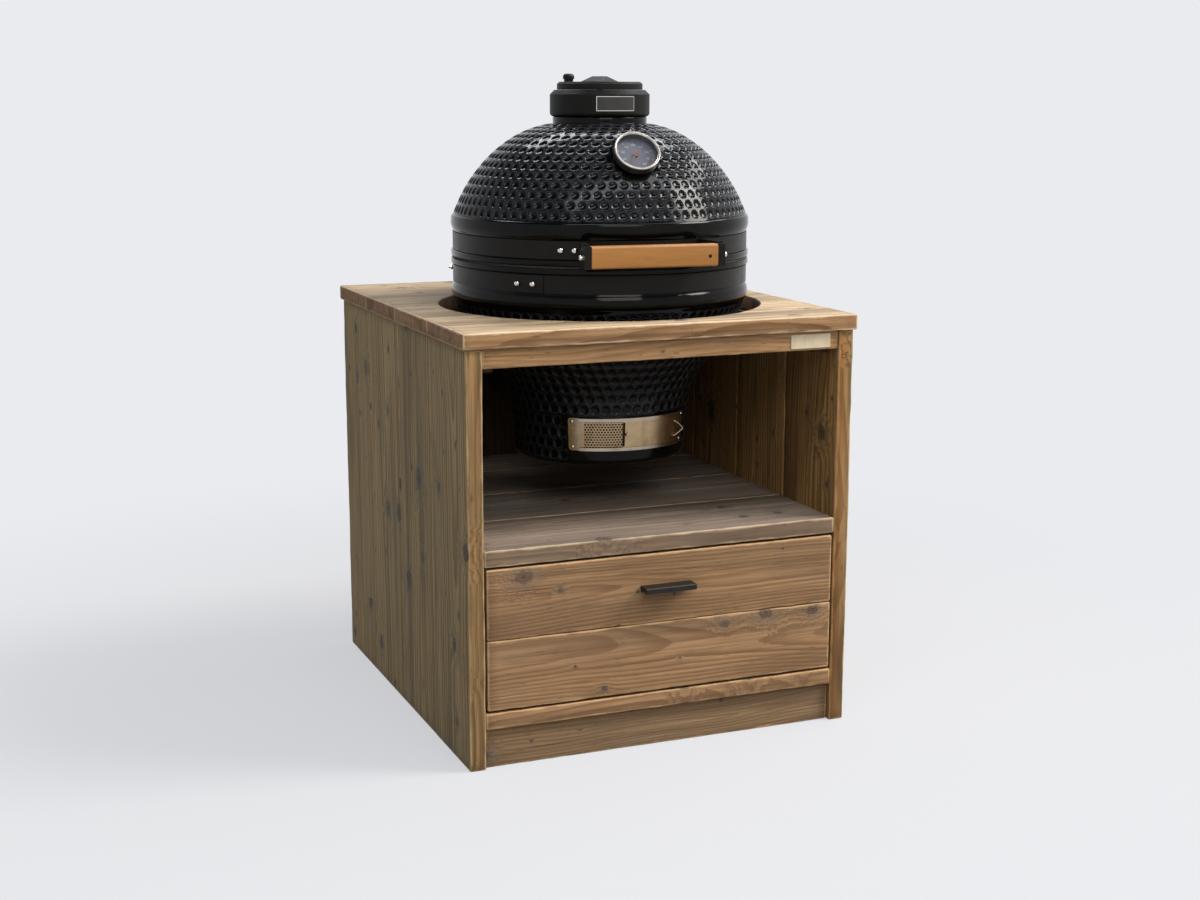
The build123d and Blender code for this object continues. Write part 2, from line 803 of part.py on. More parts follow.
# Cap: a cast ring over the chimney, with a holed plate and a pivot for the vent disc
with BuildPart() as cap_body:
    with BuildSketch(section_at(90)):
        with BuildLine():
            Polyline(
                (chimney_outer_radius + cap_clearance, cap_seat_z),
                (cap_radius, cap_seat_z),
                (cap_radius, cap_top_z - cap_shoulder),
                (cap_radius - cap_shoulder, cap_top_z),
                (pivot_radius, cap_top_z),
                (pivot_radius, disc_top_z - disc_gap),
                (0, disc_top_z - disc_gap),
                (0, cap_top_z - cap_plate),
                (chimney_outer_radius + cap_clearance, cap_top_z - cap_plate),
                close=True,
            )
        make_face()
    revolve(axis=grill_axis)
    fillet(cap_body.edges().group_by(Axis.Z)[0].sort_by(SortBy.LENGTH)[-1], cap_foot_round)
    with BuildSketch(grill.offset(cap_top_z)):
        with PolarLocations(vent_hole_circle, vent_hole_count, vent_hole_turn + 180 / vent_hole_count):
            Circle(vent_hole_radius)
    extrude(amount=-cap_plate, mode=Mode.SUBTRACT)
keep(cap_body, "cap_body")

# Vent disc: turns on the cap's pivot, with a raised grip across its middle and a knob near its rim
with BuildPart() as vent_disc:
    with BuildSketch(grill.offset(disc_z)):
        Circle(disc_radius)
        Circle(pivot_radius + pivot_clearance, mode=Mode.SUBTRACT)
        with PolarLocations(vent_hole_circle, vent_hole_count, vent_hole_turn):
            Circle(vent_hole_radius, mode=Mode.SUBTRACT)
    extrude(amount=disc_height)
    chamfer(vent_disc.edges().group_by(Axis.Z)[-1].sort_by(SortBy.LENGTH)[-1], disc_chamfer)
    for width, lift in ((grip_base, 0), (grip_top, grip_height)):
        with BuildSketch(grill.offset(disc_top_z + lift)):
            Rectangle(width, width, rotation=grip_turn)
    loft()
keep(vent_disc, "vent_disc")

with BuildPart() as vent_knob:
    with BuildSketch(grill.offset(disc_top_z)):
        with Locations(knob_place):
            Circle(knob_stem_radius)
    extrude(amount=knob_stem_height)
    with BuildSketch(grill.offset(disc_top_z + knob_stem_height)):
        with Locations(knob_place):
            Circle(knob_radius)
    extrude(amount=knob_height)
    fillet(vent_knob.edges().group_by(Axis.Z)[-1], knob_fillet)
keep(vent_knob, "vent_knob")

# Handle: a wooden bar held at both ends by brackets that are bolted to the upper band
bar_z = upper_band_z + band_height / 2 - bar_drop - bar_height / 2
bar_middle = -(bar_front - bar_depth / 2)
with BuildPart() as handle_bar:
    with BuildSketch(grill.offset(bar_z)):
        with Locations((0, bar_middle)):
            Rectangle(bar_length, bar_depth)
    extrude(amount=bar_height)
    fillet(handle_bar.edges().filter_by(Axis(grill.origin, grill.x_dir)), bar_fillet)
keep(handle_bar, "handle_bar")

bar_end = bar_length / 2
arm_x = bar_end + bracket_arm / 2
bar_back = -(bar_front - bar_depth)
arm_toe = bar_end - bracket_lean
arm_outer_toe = arm_toe + bracket_arm
arm_back = sqrt(band_radius**2 - arm_outer_toe**2)
foot_angle = degrees(asin(arm_toe / band_radius))
foot_sweep = degrees(bracket_foot_length / band_radius)
foot_radius = band_radius + bracket_foot_thickness
bracket_z = upper_band_z + band_height / 2
with BuildPart() as handle_brackets:
    for start in (foot_angle, -foot_angle - foot_sweep):
        with BuildSketch(section_at(start)):
            with Locations((band_radius + bracket_foot_thickness / 2, bracket_z)):
                Rectangle(bracket_foot_thickness, band_height)
        revolve(axis=grill_axis, revolution_arc=foot_sweep)
    with BuildSketch(grill.offset(upper_band_z)):
        for side in (-1, 1):
            Polygon(
                (side * bar_end, bar_middle),
                (side * (bar_end + bracket_arm), bar_middle),
                (side * (bar_end + bracket_arm), bar_back),
                (side * arm_outer_toe, -arm_back),
                (side * arm_toe, -arm_back),
                (side * bar_end, bar_back),
                align=None,
            )
        Circle(band_radius, mode=Mode.SUBTRACT)
    extrude(amount=band_height)
    with BuildSketch(grill.offset(bar_z)):
        with Locations((arm_x, bar_middle), (-arm_x, bar_middle)):
            Rectangle(bracket_arm, bar_depth)
    extrude(amount=bar_height)
keep(handle_brackets, "handle_brackets")

arm_angle = degrees(asin(arm_outer_toe / band_radius))
bolt_planes = []
for side in (-1, 1):
    for step in bracket_bolt_steps:
        bolt_angle = side * (arm_angle + degrees(step / band_radius))
        bolt_planes.append(radial_plane(bolt_angle, foot_radius, bracket_z))
    end_place = grill.from_local_coords(
        Vector(side * (bar_end + bracket_arm), bar_middle, bar_z + bar_height / 2)
    )
    bolt_planes.append(Plane(origin=end_place, x_dir=(0, 0, 1), z_dir=grill.x_dir * side))
keep_nuts("handle_bolts", bolt_planes)

# Thermometer: a cup with a lip, a dial with a spindle, a needle and a glass, on a probe through the dome
case_back = thermometer_standoff + thermometer_sheet
case_front = thermometer_standoff + thermometer_depth
lip_back = case_front - thermometer_sheet
cup_bore = thermometer_radius - thermometer_sheet
thermometer_section = Plane(origin=thermometer.origin, x_dir=thermometer.x_dir, z_dir=-thermometer.y_dir)
with BuildPart() as thermometer_case:
    with BuildSketch(thermometer_section):
        with BuildLine():
            Polyline(
                (0, -probe_length),
                (probe_radius, -probe_length),
                (probe_radius, -wall),
                (neck_radius, -wall),
                (neck_radius, thermometer_standoff),
                (thermometer_radius, thermometer_standoff),
                (thermometer_radius, case_front - thermometer_sheet / 2),
                (thermometer_radius - thermometer_sheet / 2, case_front),
                (thermometer_radius - thermometer_lip, case_front),
                (thermometer_radius - thermometer_lip, lip_back),
                (cup_bore, lip_back),
                (cup_bore, case_back),
                (0, case_back),
                close=True,
            )
        make_face()
    revolve(axis=Axis(thermometer.origin, thermometer.z_dir))
keep(thermometer_case, "thermometer_case")

dial_front = case_back + dial_thickness
hub_back = dial_front + spindle_clearance
with BuildPart() as thermometer_dial:
    with BuildSketch(thermometer.offset(case_back)):
        Circle(cup_bore - thermometer_fit)
    extrude(amount=dial_thickness)
    with BuildSketch(thermometer.offset(dial_front)):
        Circle(spindle_radius)
    extrude(amount=spindle_clearance + needle_hub_height)
keep(thermometer_dial, "thermometer_dial")

with BuildPart() as thermometer_glass:
    with BuildSketch(thermometer.offset(lip_back - glass_gap - glass_thickness)):
        Circle(cup_bore - thermometer_fit)
    extrude(amount=glass_thickness)
keep(thermometer_glass, "thermometer_glass")

pointer = Plane(
    origin=thermometer.origin,
    x_dir=thermometer.x_dir.rotate(Axis((0, 0, 0), thermometer.z_dir), needle_rest),
    z_dir=thermometer.z_dir,
)
with BuildPart() as thermometer_needle:
    with BuildSketch(thermometer.offset(hub_back)):
        Circle(needle_hub_radius)
        Circle(spindle_radius + spindle_clearance, mode=Mode.SUBTRACT)
    extrude(amount=needle_hub_height)
    with BuildSketch(pointer.offset(hub_back + (needle_hub_height - needle_thickness) / 2)):
        with BuildLine():
            Polyline(
                (-needle_hub_radius / 2, -needle_tail),
                (-needle_thickness / 2, needle_length),
                (needle_thickness / 2, needle_length),
                (needle_hub_radius / 2, -needle_tail),
                close=True,
            )
        make_face()
        Circle(spindle_radius + spindle_clearance, mode=Mode.SUBTRACT)
    extrude(amount=needle_thickness)
keep(thermometer_needle, "thermometer_needle")

# Hinge: brackets on both bands with eyes on one pin, and the barrel round its torsion spring
hinge_z = (base_rim_z + dome_rim_z) / 2
hinge_y = rim_radius + hinge_reach
hinge_foot_radius = band_radius + bracket_foot_thickness
eye_plane = Plane(origin=grill.origin, x_dir=grill.y_dir, z_dir=grill.x_dir)
inner_ear_width = hinge_outer_width - 2 * (hinge_ear + hinge_ear_gap)
for name, z_low, ear_width, clearance in (
    ("hinge_lower_bracket", lower_band_z, hinge_outer_width, hinge_fixed_clearance),
    ("hinge_upper_bracket", upper_band_z, inner_ear_width, hinge_running_clearance),
):
    foot_z = z_low + band_height / 2
    ear_toe = hinge_foot_radius * cos(asin(ear_width / 2 / hinge_foot_radius)) - bracket_foot_thickness / 2
    with BuildPart() as bracket:
        with BuildSketch(section_at(180 - hinge_foot_sweep / 2)):
            with Locations((band_radius + bracket_foot_thickness / 2, foot_z)):
                Rectangle(bracket_foot_thickness, band_height)
        revolve(axis=grill_axis, revolution_arc=hinge_foot_sweep)
        for ear_x in (ear_width / 2 - hinge_ear, -ear_width / 2):
            with BuildSketch(eye_plane.offset(ear_x)):
                with BuildLine():
                    Polyline((ear_toe, z_low), (ear_toe, z_low + band_height), (hinge_y, hinge_z), close=True)
                make_face()
                with Locations((hinge_y, hinge_z)):
                    Circle(hinge_eye_radius)
                    Circle(hinge_pin_radius + clearance, mode=Mode.SUBTRACT)
            extrude(amount=hinge_ear)
    keep(bracket, name)

with BuildPart() as hinge_pin:
    with BuildSketch(eye_plane.offset(-hinge_outer_width / 2)):
        with Locations((hinge_y, hinge_z)):
            Circle(hinge_pin_radius)
    extrude(amount=hinge_outer_width)
    for head_x in (hinge_outer_width / 2, -hinge_outer_width / 2 - hinge_pin_head_length):
        with BuildSketch(eye_plane.offset(head_x)):
            with Locations((hinge_y, hinge_z)):
                Circle(hinge_pin_head)
        extrude(amount=hinge_pin_head_length)
keep(hinge_pin, "hinge_pin")

barrel_length = inner_ear_width - 2 * (hinge_ear + hinge_ear_gap)
with BuildPart() as hinge_barrel:
    with BuildSketch(eye_plane.offset(-barrel_length / 2)):
        with Locations((hinge_y, hinge_z)):
            Circle(hinge_barrel_radius)
            Circle(hinge_pin_radius + hinge_fixed_clearance, mode=Mode.SUBTRACT)
    extrude(amount=barrel_length)
keep(hinge_barrel, "hinge_barrel")

# Line of the dome's hinge, axis of the grill and spindle of the needle
for name, place, direction in (
    ("dome hinge", eye_plane.from_local_coords(Vector(hinge_y, hinge_z, 0)), grill.x_dir),
    ("grill axis", Vector(*grill.origin), Vector(0, 0, 1)),
    ("needle", Vector(*thermometer.origin), thermometer.z_dir),
):
    print(name, [round(v, 3) for v in place], [round(v, 6) for v in direction])
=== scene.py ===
"""Looks of an outdoor kitchen: a scaffold-wood cabinet that carries a dimpled black kamado grill.

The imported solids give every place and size. This file dresses or replaces them, and adds the
floor, the light and the camera.
"""

import logging
import math
from dataclasses import dataclass, field, replace
from enum import Enum
from functools import partial
from typing import Any, Callable, Iterable, Mapping, Sequence, Union

import bmesh
import bpy
import numpy as np
from mathutils import Matrix, Vector


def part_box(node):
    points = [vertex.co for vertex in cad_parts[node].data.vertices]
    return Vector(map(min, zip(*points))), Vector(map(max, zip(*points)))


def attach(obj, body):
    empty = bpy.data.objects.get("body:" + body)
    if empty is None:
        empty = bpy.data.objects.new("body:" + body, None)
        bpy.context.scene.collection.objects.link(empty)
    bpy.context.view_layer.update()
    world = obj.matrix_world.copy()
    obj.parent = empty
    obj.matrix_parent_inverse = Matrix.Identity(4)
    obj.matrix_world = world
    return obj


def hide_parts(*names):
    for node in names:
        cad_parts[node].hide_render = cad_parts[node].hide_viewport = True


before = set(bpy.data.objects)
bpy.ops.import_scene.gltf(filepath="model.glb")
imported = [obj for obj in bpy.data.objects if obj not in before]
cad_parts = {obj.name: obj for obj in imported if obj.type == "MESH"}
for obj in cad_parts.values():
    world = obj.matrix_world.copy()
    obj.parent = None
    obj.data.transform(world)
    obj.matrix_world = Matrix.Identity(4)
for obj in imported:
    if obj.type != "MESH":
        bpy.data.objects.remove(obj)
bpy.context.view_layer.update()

log = logging.getLogger("outdoor_kitchen")
MM = 0.001
FULL = 2 * math.pi
Colour = tuple[float, float, float, float]
Pair = tuple[float, float]
Triple = tuple[float, float, float]
Box = tuple[Vector, Vector]
Profile = Sequence[Pair]
Reals = Union[float, np.ndarray]
WELD, SKIN_WELD = 1e-6, 4e-6
SKIN_SHARP, WOOD_SHARP = 36.0, 40.0
AXIS = 0.01
PLAIN: Colour = (1.0, 1.0, 1.0, 1.0)
QUARTERS = ((1, 1), (-1, 1), (-1, -1), (1, -1))
DIAL_CENTRE: Triple = (-3.105, -244.731, 1018.1)


def tint(red: int, green: int, blue: int) -> Colour:
    """A colour as it is seen on a screen, from 0 to 255, as a shader's linear colour.

    Args:
        red: from 0 to 255.
        green: from 0 to 255.
        blue: from 0 to 255.

    Returns:
        The linear colour.
    """
    parts = [c / 255 for c in (red, green, blue)]
    linear = [c / 12.92 if c <= 0.04045 else ((c + 0.055) / 1.055) ** 2.4 for c in parts]
    return (linear[0], linear[1], linear[2], 1.0)


class Signal:
    """One output of a finish's nodes. Sums on it add Math nodes."""

    def __init__(self, graph: "Graph", socket: bpy.types.NodeSocket) -> None:
        """Wraps a socket of the graph."""
        self.graph = graph
        self.socket = socket

    def __add__(self, other: "Value") -> "Signal":
        """self + other."""
        return self.graph.math("ADD", self, other)

    def __radd__(self, other: "Value") -> "Signal":
        """other + self."""
        return self.graph.math("ADD", other, self)

    def __sub__(self, other: "Value") -> "Signal":
        """self - other."""
        return self.graph.math("SUBTRACT", self, other)

    def __rsub__(self, other: "Value") -> "Signal":
        """other - self."""
        return self.graph.math("SUBTRACT", other, self)

    def __mul__(self, other: "Value") -> "Signal":
        """self * other."""
        return self.graph.math("MULTIPLY", self, other)

    def __rmul__(self, other: "Value") -> "Signal":
        """other * self."""
        return self.graph.math("MULTIPLY", other, self)

    def __truediv__(self, other: "Value") -> "Signal":
        """self / other."""
        return self.graph.math("DIVIDE", self, other)

    def __pow__(self, other: "Value") -> "Signal":
        """self to the power of other."""
        return self.graph.math("POWER", self, other)


Value = Union[float, Signal]


class Graph:
    """The nodes of one finish, round one Principled shader."""

    def __init__(self, name: str) -> None:
        """Starts a material of that name with a bare shader.

        Args:
            name: name of the material.
        """
        self.material = bpy.data.materials.new(name)
        self.material.use_nodes = True
        self.tree = self.material.node_tree
        self.tree.nodes.clear()
        self.shader = self.node("ShaderNodeBsdfPrincipled")
        self.output = self.node("ShaderNodeOutputMaterial", None, {0: self.out(self.shader)})

    @classmethod
    def of_world(cls, world: bpy.types.World) -> "Graph":
        """The nodes of a world, which has no Principled shader.

        Args:
            world: the world.

        Returns:
            The graph.
        """
        graph = cls.__new__(cls)
        graph.tree = world.node_tree
        graph.tree.nodes.clear()
        return graph

    def fill(self, node: bpy.types.Node, sockets: Mapping[Any, Any]) -> None:
        """Sets or links a node's inputs.

        Args:
            node: the node.
            sockets: values or signals, by name or index of the input.
        """
        for key, value in sockets.items():
            if isinstance(value, Signal):
                self.tree.links.new(value.socket, node.inputs[key])
            else:
                node.inputs[key].default_value = value

    def finish(self, sockets: Mapping[str, Any]) -> None:
        """Sets or links the shader's inputs."""
        self.fill(self.shader, sockets)

    def node(
        self, kind: str, settings: Mapping[str, Any] | None = None, sockets: Mapping[Any, Any] | None = None
    ) -> bpy.types.Node:
        """Adds a node.

        Args:
            kind: the node's type.
            settings: its own properties, set first.
            sockets: values or signals for its inputs.

        Returns:
            The new node.
        """
        made = self.tree.nodes.new(kind)
        for key, value in (settings or {}).items():
            setattr(made, key, value)
        self.fill(made, sockets or {})
        return made

    def out(self, made: bpy.types.Node, output: Any = 0) -> Signal:
        """An output of a node as a signal."""
        return Signal(self, made.outputs[output])

    def math(self, operation: str, *values: Value) -> Signal:
        """One Math node on the values."""
        return self.out(self.node("ShaderNodeMath", {"operation": operation}, dict(enumerate(values))))

    def vector(self, operation: str, *values: Any) -> Signal:
        """One Vector Math node on the vectors."""
        return self.out(self.node("ShaderNodeVectorMath", {"operation": operation}, dict(enumerate(values))))

    def place(self) -> Signal:
        """The point's place in the part's frame."""
        return self.out(self.node("ShaderNodeTexCoord"), "Object")

    def attribute(self, name: str) -> Signal:
        """A vector that the mesh stores on its points."""
        return self.out(self.node("ShaderNodeAttribute", {"attribute_name": name}), "Vector")

    def split(self, vector: Signal) -> tuple[Signal, Signal, Signal]:
        """The three parts of a vector."""
        made = self.node("ShaderNodeSeparateXYZ", None, {0: vector})
        return self.out(made, 0), self.out(made, 1), self.out(made, 2)

    def join(self, x: Value, y: Value, z: Value) -> Signal:
        """A vector of three values."""
        return self.out(self.node("ShaderNodeCombineXYZ", None, {0: x, 1: y, 2: z}))

    def noise(self, where: Signal, scale: float, detail: float = 2.0, rough: float = 0.5) -> Signal:
        """Cloudy noise round 0.5.

        Args:
            where: the coordinates.
            scale: cells per metre.
            detail: octaves.
            rough: weight of the finer octaves.

        Returns:
            The noise.
        """
        sockets = {"Vector": where, "Scale": scale, "Detail": detail, "Roughness": rough}
        return self.out(self.node("ShaderNodeTexNoise", None, sockets), "Fac")

    def grain(self, where: Signal, stretch: Triple, detail: float = 2.0, rough: float = 0.5) -> Signal:
        """Noise with its own count of cells per metre along each axis."""
        return self.noise(self.vector("MULTIPLY", where, stretch), 1.0, detail, rough)

    def ease(self, value: Value, low: Value, high: Value) -> Signal:
        """0 below low, 1 above high, smooth between; low may be above high."""
        sockets = {"Value": value, "From Min": low, "From Max": high}
        return self.out(self.node("ShaderNodeMapRange", {"interpolation_type": "SMOOTHSTEP"}, sockets))

    def mix(self, factor: Value, first: Any, second: Any, blend: str = "MIX") -> Signal:
        """Two colours mixed, with factor as the share of the second."""
        settings = {"data_type": "RGBA", "blend_type": blend}
        return self.out(self.node("ShaderNodeMix", settings, {0: factor, 6: first, 7: second}), 2)

    def layers(self, colour: Any, *coats: tuple[Value, Colour]) -> Signal:
        """A colour under coats of others, each given as its share and its colour.

        Args:
            colour: the lowest colour.
            coats: the others, from below.

        Returns:
            The colour that shows.
        """
        for share, coat in coats:
            colour = self.mix(share, colour, coat)
        return colour

    def bump(self, height: Signal, strength: float, depth: float) -> Signal:
        """A normal bent by a height from 0 to 1, where 1 is depth metres."""
        sockets = {"Height": height, "Strength": strength, "Distance": depth}
        return self.out(self.node("ShaderNodeBump", None, sockets))


@dataclass(frozen=True)
class Finish:
    """A material that is made once and worn by every piece that asks for it."""

    label: str

    def paint(self, g: Graph) -> None:
        """Adds the nodes of the finish."""
        raise NotImplementedError

    def material(self) -> bpy.types.Material:
        """The material, made at the first call.

        Returns:
            The material.
        """
        known = bpy.data.materials.get(self.label + "_finish")
        if known is None:
            graph = Graph(self.label + "_finish")
            self.paint(graph)
            known = graph.material
        return known


@dataclass(frozen=True)
class PlankWood(Finish):
    """Weathered softwood with growth rings, knots, fibres and worn edges. It reads the planks' own
    coordinates: x along the grain, y across, z through the board. Lengths are in metres."""

    early: Colour = tint(168, 131, 93)
    late: Colour = tint(116, 85, 57)
    grey: Colour = tint(134, 114, 92)
    stain: Colour = tint(92, 71, 51)
    bare: Colour = tint(204, 166, 120)
    knot: Colour = tint(88, 68, 54)
    scar: Colour = tint(42, 35, 31)
    halo: Colour = tint(104, 94, 86)
    sawn: Colour = PLAIN
    # inner multiplies the colour of the board's inner faces: the right side's own browner wood, and painted shade
    # on the back planks
    inner: Colour = PLAIN
    ring: float = 0.0062
    contrast: float = 0.8
    banding: float = 0.36
    greyness: float = 0.42
    knot_share: float = 0.55
    knot_size: float = 0.0095
    least_knot: float = 0.0020
    knot_cells: float = 13.0

    def knots(self, g: Graph, spot: Signal) -> tuple[Signal, Signal, Signal, Signal]:
        """Scatters the knots.

        Args:
            g: the finish's nodes.
            spot: the plank's own coordinates, moved by its seed.

        Returns:
            Their swell of the rings, their eyes, their dark borders and their halos.
        """
        flat = g.vector("MULTIPLY", spot, (0.78, 1.0, 1.0))
        sockets = {"Vector": flat, "Scale": self.knot_cells}
        spots = g.node("ShaderNodeTexVoronoi", {"voronoi_dimensions": "2D"}, sockets)
        uneven = g.noise(spot, 110.0, 2.0, 0.6) - 0.5
        near = g.out(spots, "Distance") * (1 / self.knot_cells) * (1 + uneven * 1.5)
        luck, size, depth = g.split(g.out(spots, "Color"))
        present = g.ease(luck, 1 - self.knot_share, 1 - self.knot_share + 0.01)
        core = self.least_knot + size * size * size * self.knot_size
        swell = g.math("POWER", 2.718, 0 - (near / (core * 2.3)) ** 2.0) * present * core
        eye = g.ease(near, core, core * 0.78) * present * (0.55 + depth * 0.45)
        rim = g.ease(near, core * 1.25, core) * g.ease(near, core * 0.50, core * 0.92)
        heart = g.ease(near, core * 0.55, core * 0.05)
        halo = g.ease(near, core * 3.2, core * 0.9) * present
        return swell, eye, (rim * (0.3 + depth * 0.5) + heart * 0.7) * present, halo

    def rings(self, g: Graph, spot: Signal, plank: Signal, seed: Signal, swell: Signal) -> Signal:
        """Draws the growth rings round a heart that wanders under the board.

        Args:
            g: the finish's nodes.
            spot: the plank's own coordinates, moved by its seed.
            plank: the plank's own coordinates.
            seed: the plank's three random shares.
            swell: how far the knots push the rings out.

        Returns:
            The dark late wood, from 0 to about 1.
        """
        along, across, deep = g.split(plank)
        seed_x, seed_y, seed_z = g.split(seed)
        slow = g.vector("MULTIPLY", spot, (1.1, 3.0, 3.0))
        sway = g.noise(slow, 1.6, 1.0) - 0.5
        dip = g.noise(g.vector("ADD", slow, (3.7, 1.9, 5.3)), 1.3, 1.0) - 0.5
        ripple = g.grain(spot, (5.0, 26.0, 26.0)) - 0.5
        side = across - ((seed_x - 0.5) * 0.09 + sway * 0.07)
        level = deep - (0 - (seed_y * 0.05 + 0.014) + dip * 0.075)
        radius = g.math("SQRT", side * side + level * level)
        growth = radius + ripple * 0.0050 + along * 0.010 * (seed_z - 0.5) + swell * 1.5
        turns = growth * (1 / self.ring)
        phase = g.math("FRACT", turns)
        years = g.noise(g.join(g.math("FLOOR", turns), seed_x * 31.0, 0.0), 1.7, 0.0)
        return g.ease(phase, 0.20, 0.88) * g.ease(phase, 1.0, 0.94) * (0.3 + years * 1.1)

    def paint(self, g: Graph) -> None:
        """Adds the nodes of the wood.

        Args:
            g: the finish's nodes.
        """
        plank, half, seed = g.attribute("plank"), g.attribute("half"), g.attribute("seed")
        _, _, deep = g.split(plank)
        seed_x, seed_y, _ = g.split(seed)
        spot = g.vector("ADD", plank, g.vector("MULTIPLY", seed, (9.0, 9.0, 9.0)))
        swell, eye, scar, halo = self.knots(g, spot)
        late = self.rings(g, spot, plank, seed, swell)

        fine = g.grain(spot, (9.0, 330.0, 330.0), 3.0, 0.6)
        streak = g.grain(spot, (1.6, 85.0, 85.0), 2.0, 0.6)
        band = g.grain(spot, (1.0, 19.0, 19.0), 1.0)
        cloud = g.grain(spot, (2.72, 9.6, 9.6), 3.0, 0.6)
        dirt = g.grain(spot, (5.6, 25.2, 25.2), 4.0, 0.65)
        fleck = g.ease(g.grain(spot, (34.0, 210.0, 210.0), 1.0), 0.66, 0.76)
        chips = g.grain(spot, (30.0, 60.0, 60.0))
        split = g.ease(g.grain(spot, (3.2, 150.0, 150.0), 1.0), 0.735, 0.79)

        edge_x, edge_y, edge_z = g.split(g.vector("SUBTRACT", half, g.vector("ABSOLUTE", plank)))
        small, large = g.math("MINIMUM", edge_x, edge_y), g.math("MAXIMUM", edge_x, edge_y)
        rim = g.math("MAXIMUM", small, g.math("MINIMUM", large, edge_z))
        worn = g.ease(rim + (chips - 0.5) * 0.008, 0.0046, 0.0010)
        soiled = g.ease(rim + (dirt - 0.5) * 0.03, 0.022, 0.002)
        broad = g.ease(edge_z, 0.0030, 0.0012)
        weather = g.ease(cloud + (seed_y - 0.5) * 0.25, 0.34, 0.70)

        colour = g.layers(
            self.early,
            (weather * self.greyness, self.grey),
            (late * self.contrast, self.late),
            ((fine - 0.5) * 2.3 + 0.14, self.late),
            (g.ease(streak, 0.46, 0.74) * 0.50, self.stain),
            (g.ease(streak, 0.44, 0.24) * 0.30, self.bare),
            (g.ease(band, 0.50, 0.72) * self.banding, self.stain),
            (g.ease(cloud, 0.46, 0.26) * 0.30, self.stain),
            (g.ease(dirt, 0.52, 0.76) * 0.42 + fleck * 0.45, self.stain),
            (soiled * 0.20, self.stain),
        )
        colour = g.layers(
            g.mix(1 - broad, colour, g.mix(1.0, colour, self.sawn, "MULTIPLY")),
            (worn * 0.55, self.bare),
            (halo * broad * 0.42, self.halo),
            (eye * broad, self.knot),
            (scar * broad * 0.7, self.scar),
        )
        tone = g.node("ShaderNodeHueSaturation", None, {"Color": colour, "Value": 0.89 + seed_x * 0.22})
        colour = g.mix(split * 0.65, g.out(tone, "Color"), self.scar)
        # the inner faces take the inner colour: browner wood on the right side, painted shade on the back planks
        colour = g.mix(g.ease(deep, 0.005, -0.005), colour, g.mix(1.0, colour, self.inner, "MULTIPLY"))

        height = 0.5 + late * 0.22 + (fine - 0.5) * 0.55 + (dirt - 0.5) * 0.25
        g.finish({
            "Base Color": colour,
            "Roughness": 0.66 + fine * 0.16 - late * 0.08 + worn * 0.08,
            "Normal": g.bump(height - split * 0.55 - scar * broad * 0.2, 0.7, 0.0010),
            "Specular IOR Level": 0.25,
        })


@dataclass(frozen=True)
class BarWood(Finish):
    """Oiled light laminated wood with straight dark pores, for the handle bar."""

    light: Colour = tint(178, 120, 48)
    dark: Colour = tint(112, 68, 20)
    pore: Colour = tint(92, 56, 28)

    def paint(self, g: Graph) -> None:
        """Adds the nodes of the bar's wood.

        Args:
            g: the finish's nodes.
        """
        plank = g.attribute("plank")
        lines = g.grain(plank, (14.0, 420.0, 420.0), 3.0, 0.6)
        slats = g.grain(plank, (1.0, 95.0, 30.0), 0.0)
        pores = g.ease(g.grain(plank, (40.0, 900.0, 900.0), 1.0), 0.62, 0.74)
        bands = g.ease(slats, 0.35, 0.7) * 0.35
        coats = ((lines * 0.8, self.dark), (bands, self.dark), (pores * 0.45, self.pore))
        g.finish({
            "Base Color": g.layers(self.light, *coats),
            "Roughness": 0.42 + lines * 0.2,
            "Normal": g.bump(lines * 0.6 - pores * 0.5, 0.4, 0.0004),
            "Coat Weight": 0.15,
            "Coat Roughness": 0.3,
        })


@dataclass(frozen=True)
class Glaze(Finish):
    """Glossy black ceramic glaze with a soft uneven skin; the blue-grey on the dimples' rims is a painted
    reflection.
    """

    body: Colour = tint(8, 8, 7)
    dusty: Colour = tint(16, 16, 13)
    # rim: painted reflection, the blue-grey that the dimples' rims and the land between them would mirror from the
    # sky
    rim: Colour = tint(44, 46, 50)
    rough: float = 0.07
    shine: float = 0.13

    def paint(self, g: Graph) -> None:
        """Adds the nodes of the glaze.

        Args:
            g: the finish's nodes.
        """
        where = g.place()
        flow = g.noise(where, 26.0, 3.0, 0.55)
        specks = g.noise(where, 420.0, 2.0)
        # the rim marks carry the painted reflection on the dimples' rims
        edge, _, _ = g.split(g.attribute("rim"))
        coats = ((g.ease(flow, 0.42, 0.75) * 0.6, self.dusty), (edge * (0.5 + flow * 0.7), self.rim))
        g.finish({
            "Base Color": g.layers(self.body, *coats),
            "Roughness": self.rough + g.ease(flow, 0.4, 0.75) * 0.08 + (specks - 0.5) * 0.04,
            "Normal": g.bump(flow * 0.7 + specks * 0.10, 0.3, 0.0012),
            "Specular IOR Level": self.shine,
        })


@dataclass(frozen=True)
class Mineral(Finish):
    """Matt fired clay or cast metal: grainy colour, pits and a rough skin."""

    base: Colour
    shade: Colour
    rough: float = 0.85
    grain: float = 160.0
    pits: float = 0.0009
    gloss: float = 0.3

    def paint(self, g: Graph) -> None:
        """Adds the nodes of the grainy skin.

        Args:
            g: the finish's nodes.
        """
        where = g.place()
        broad = g.noise(where, 14.0, 4.0, 0.6)
        grit = g.noise(where, self.grain, 3.0, 0.65)
        cells = g.node("ShaderNodeTexVoronoi", None, {"Vector": where, "Scale": self.grain * 1.4})
        holes = g.ease(g.out(cells, "Distance"), 0.0, 0.3)
        g.finish({
            "Base Color": g.mix(g.ease(broad, 0.3, 0.7) * 0.6 + (grit - 0.5) * 0.6, self.base, self.shade),
            "Roughness": self.rough + (grit - 0.5) * 0.16 + (broad - 0.5) * 0.1,
            "Normal": g.bump(grit * 0.8 + holes * 0.2, 0.6, self.pits),
            "Specular IOR Level": self.gloss,
        })


class Brush(Enum):
    """Which way a metal is brushed, as the count of its scratches along x, y and z."""

    LEVEL = (12.0, 12.0, 1800.0)
    NONE = (160.0, 160.0, 160.0)


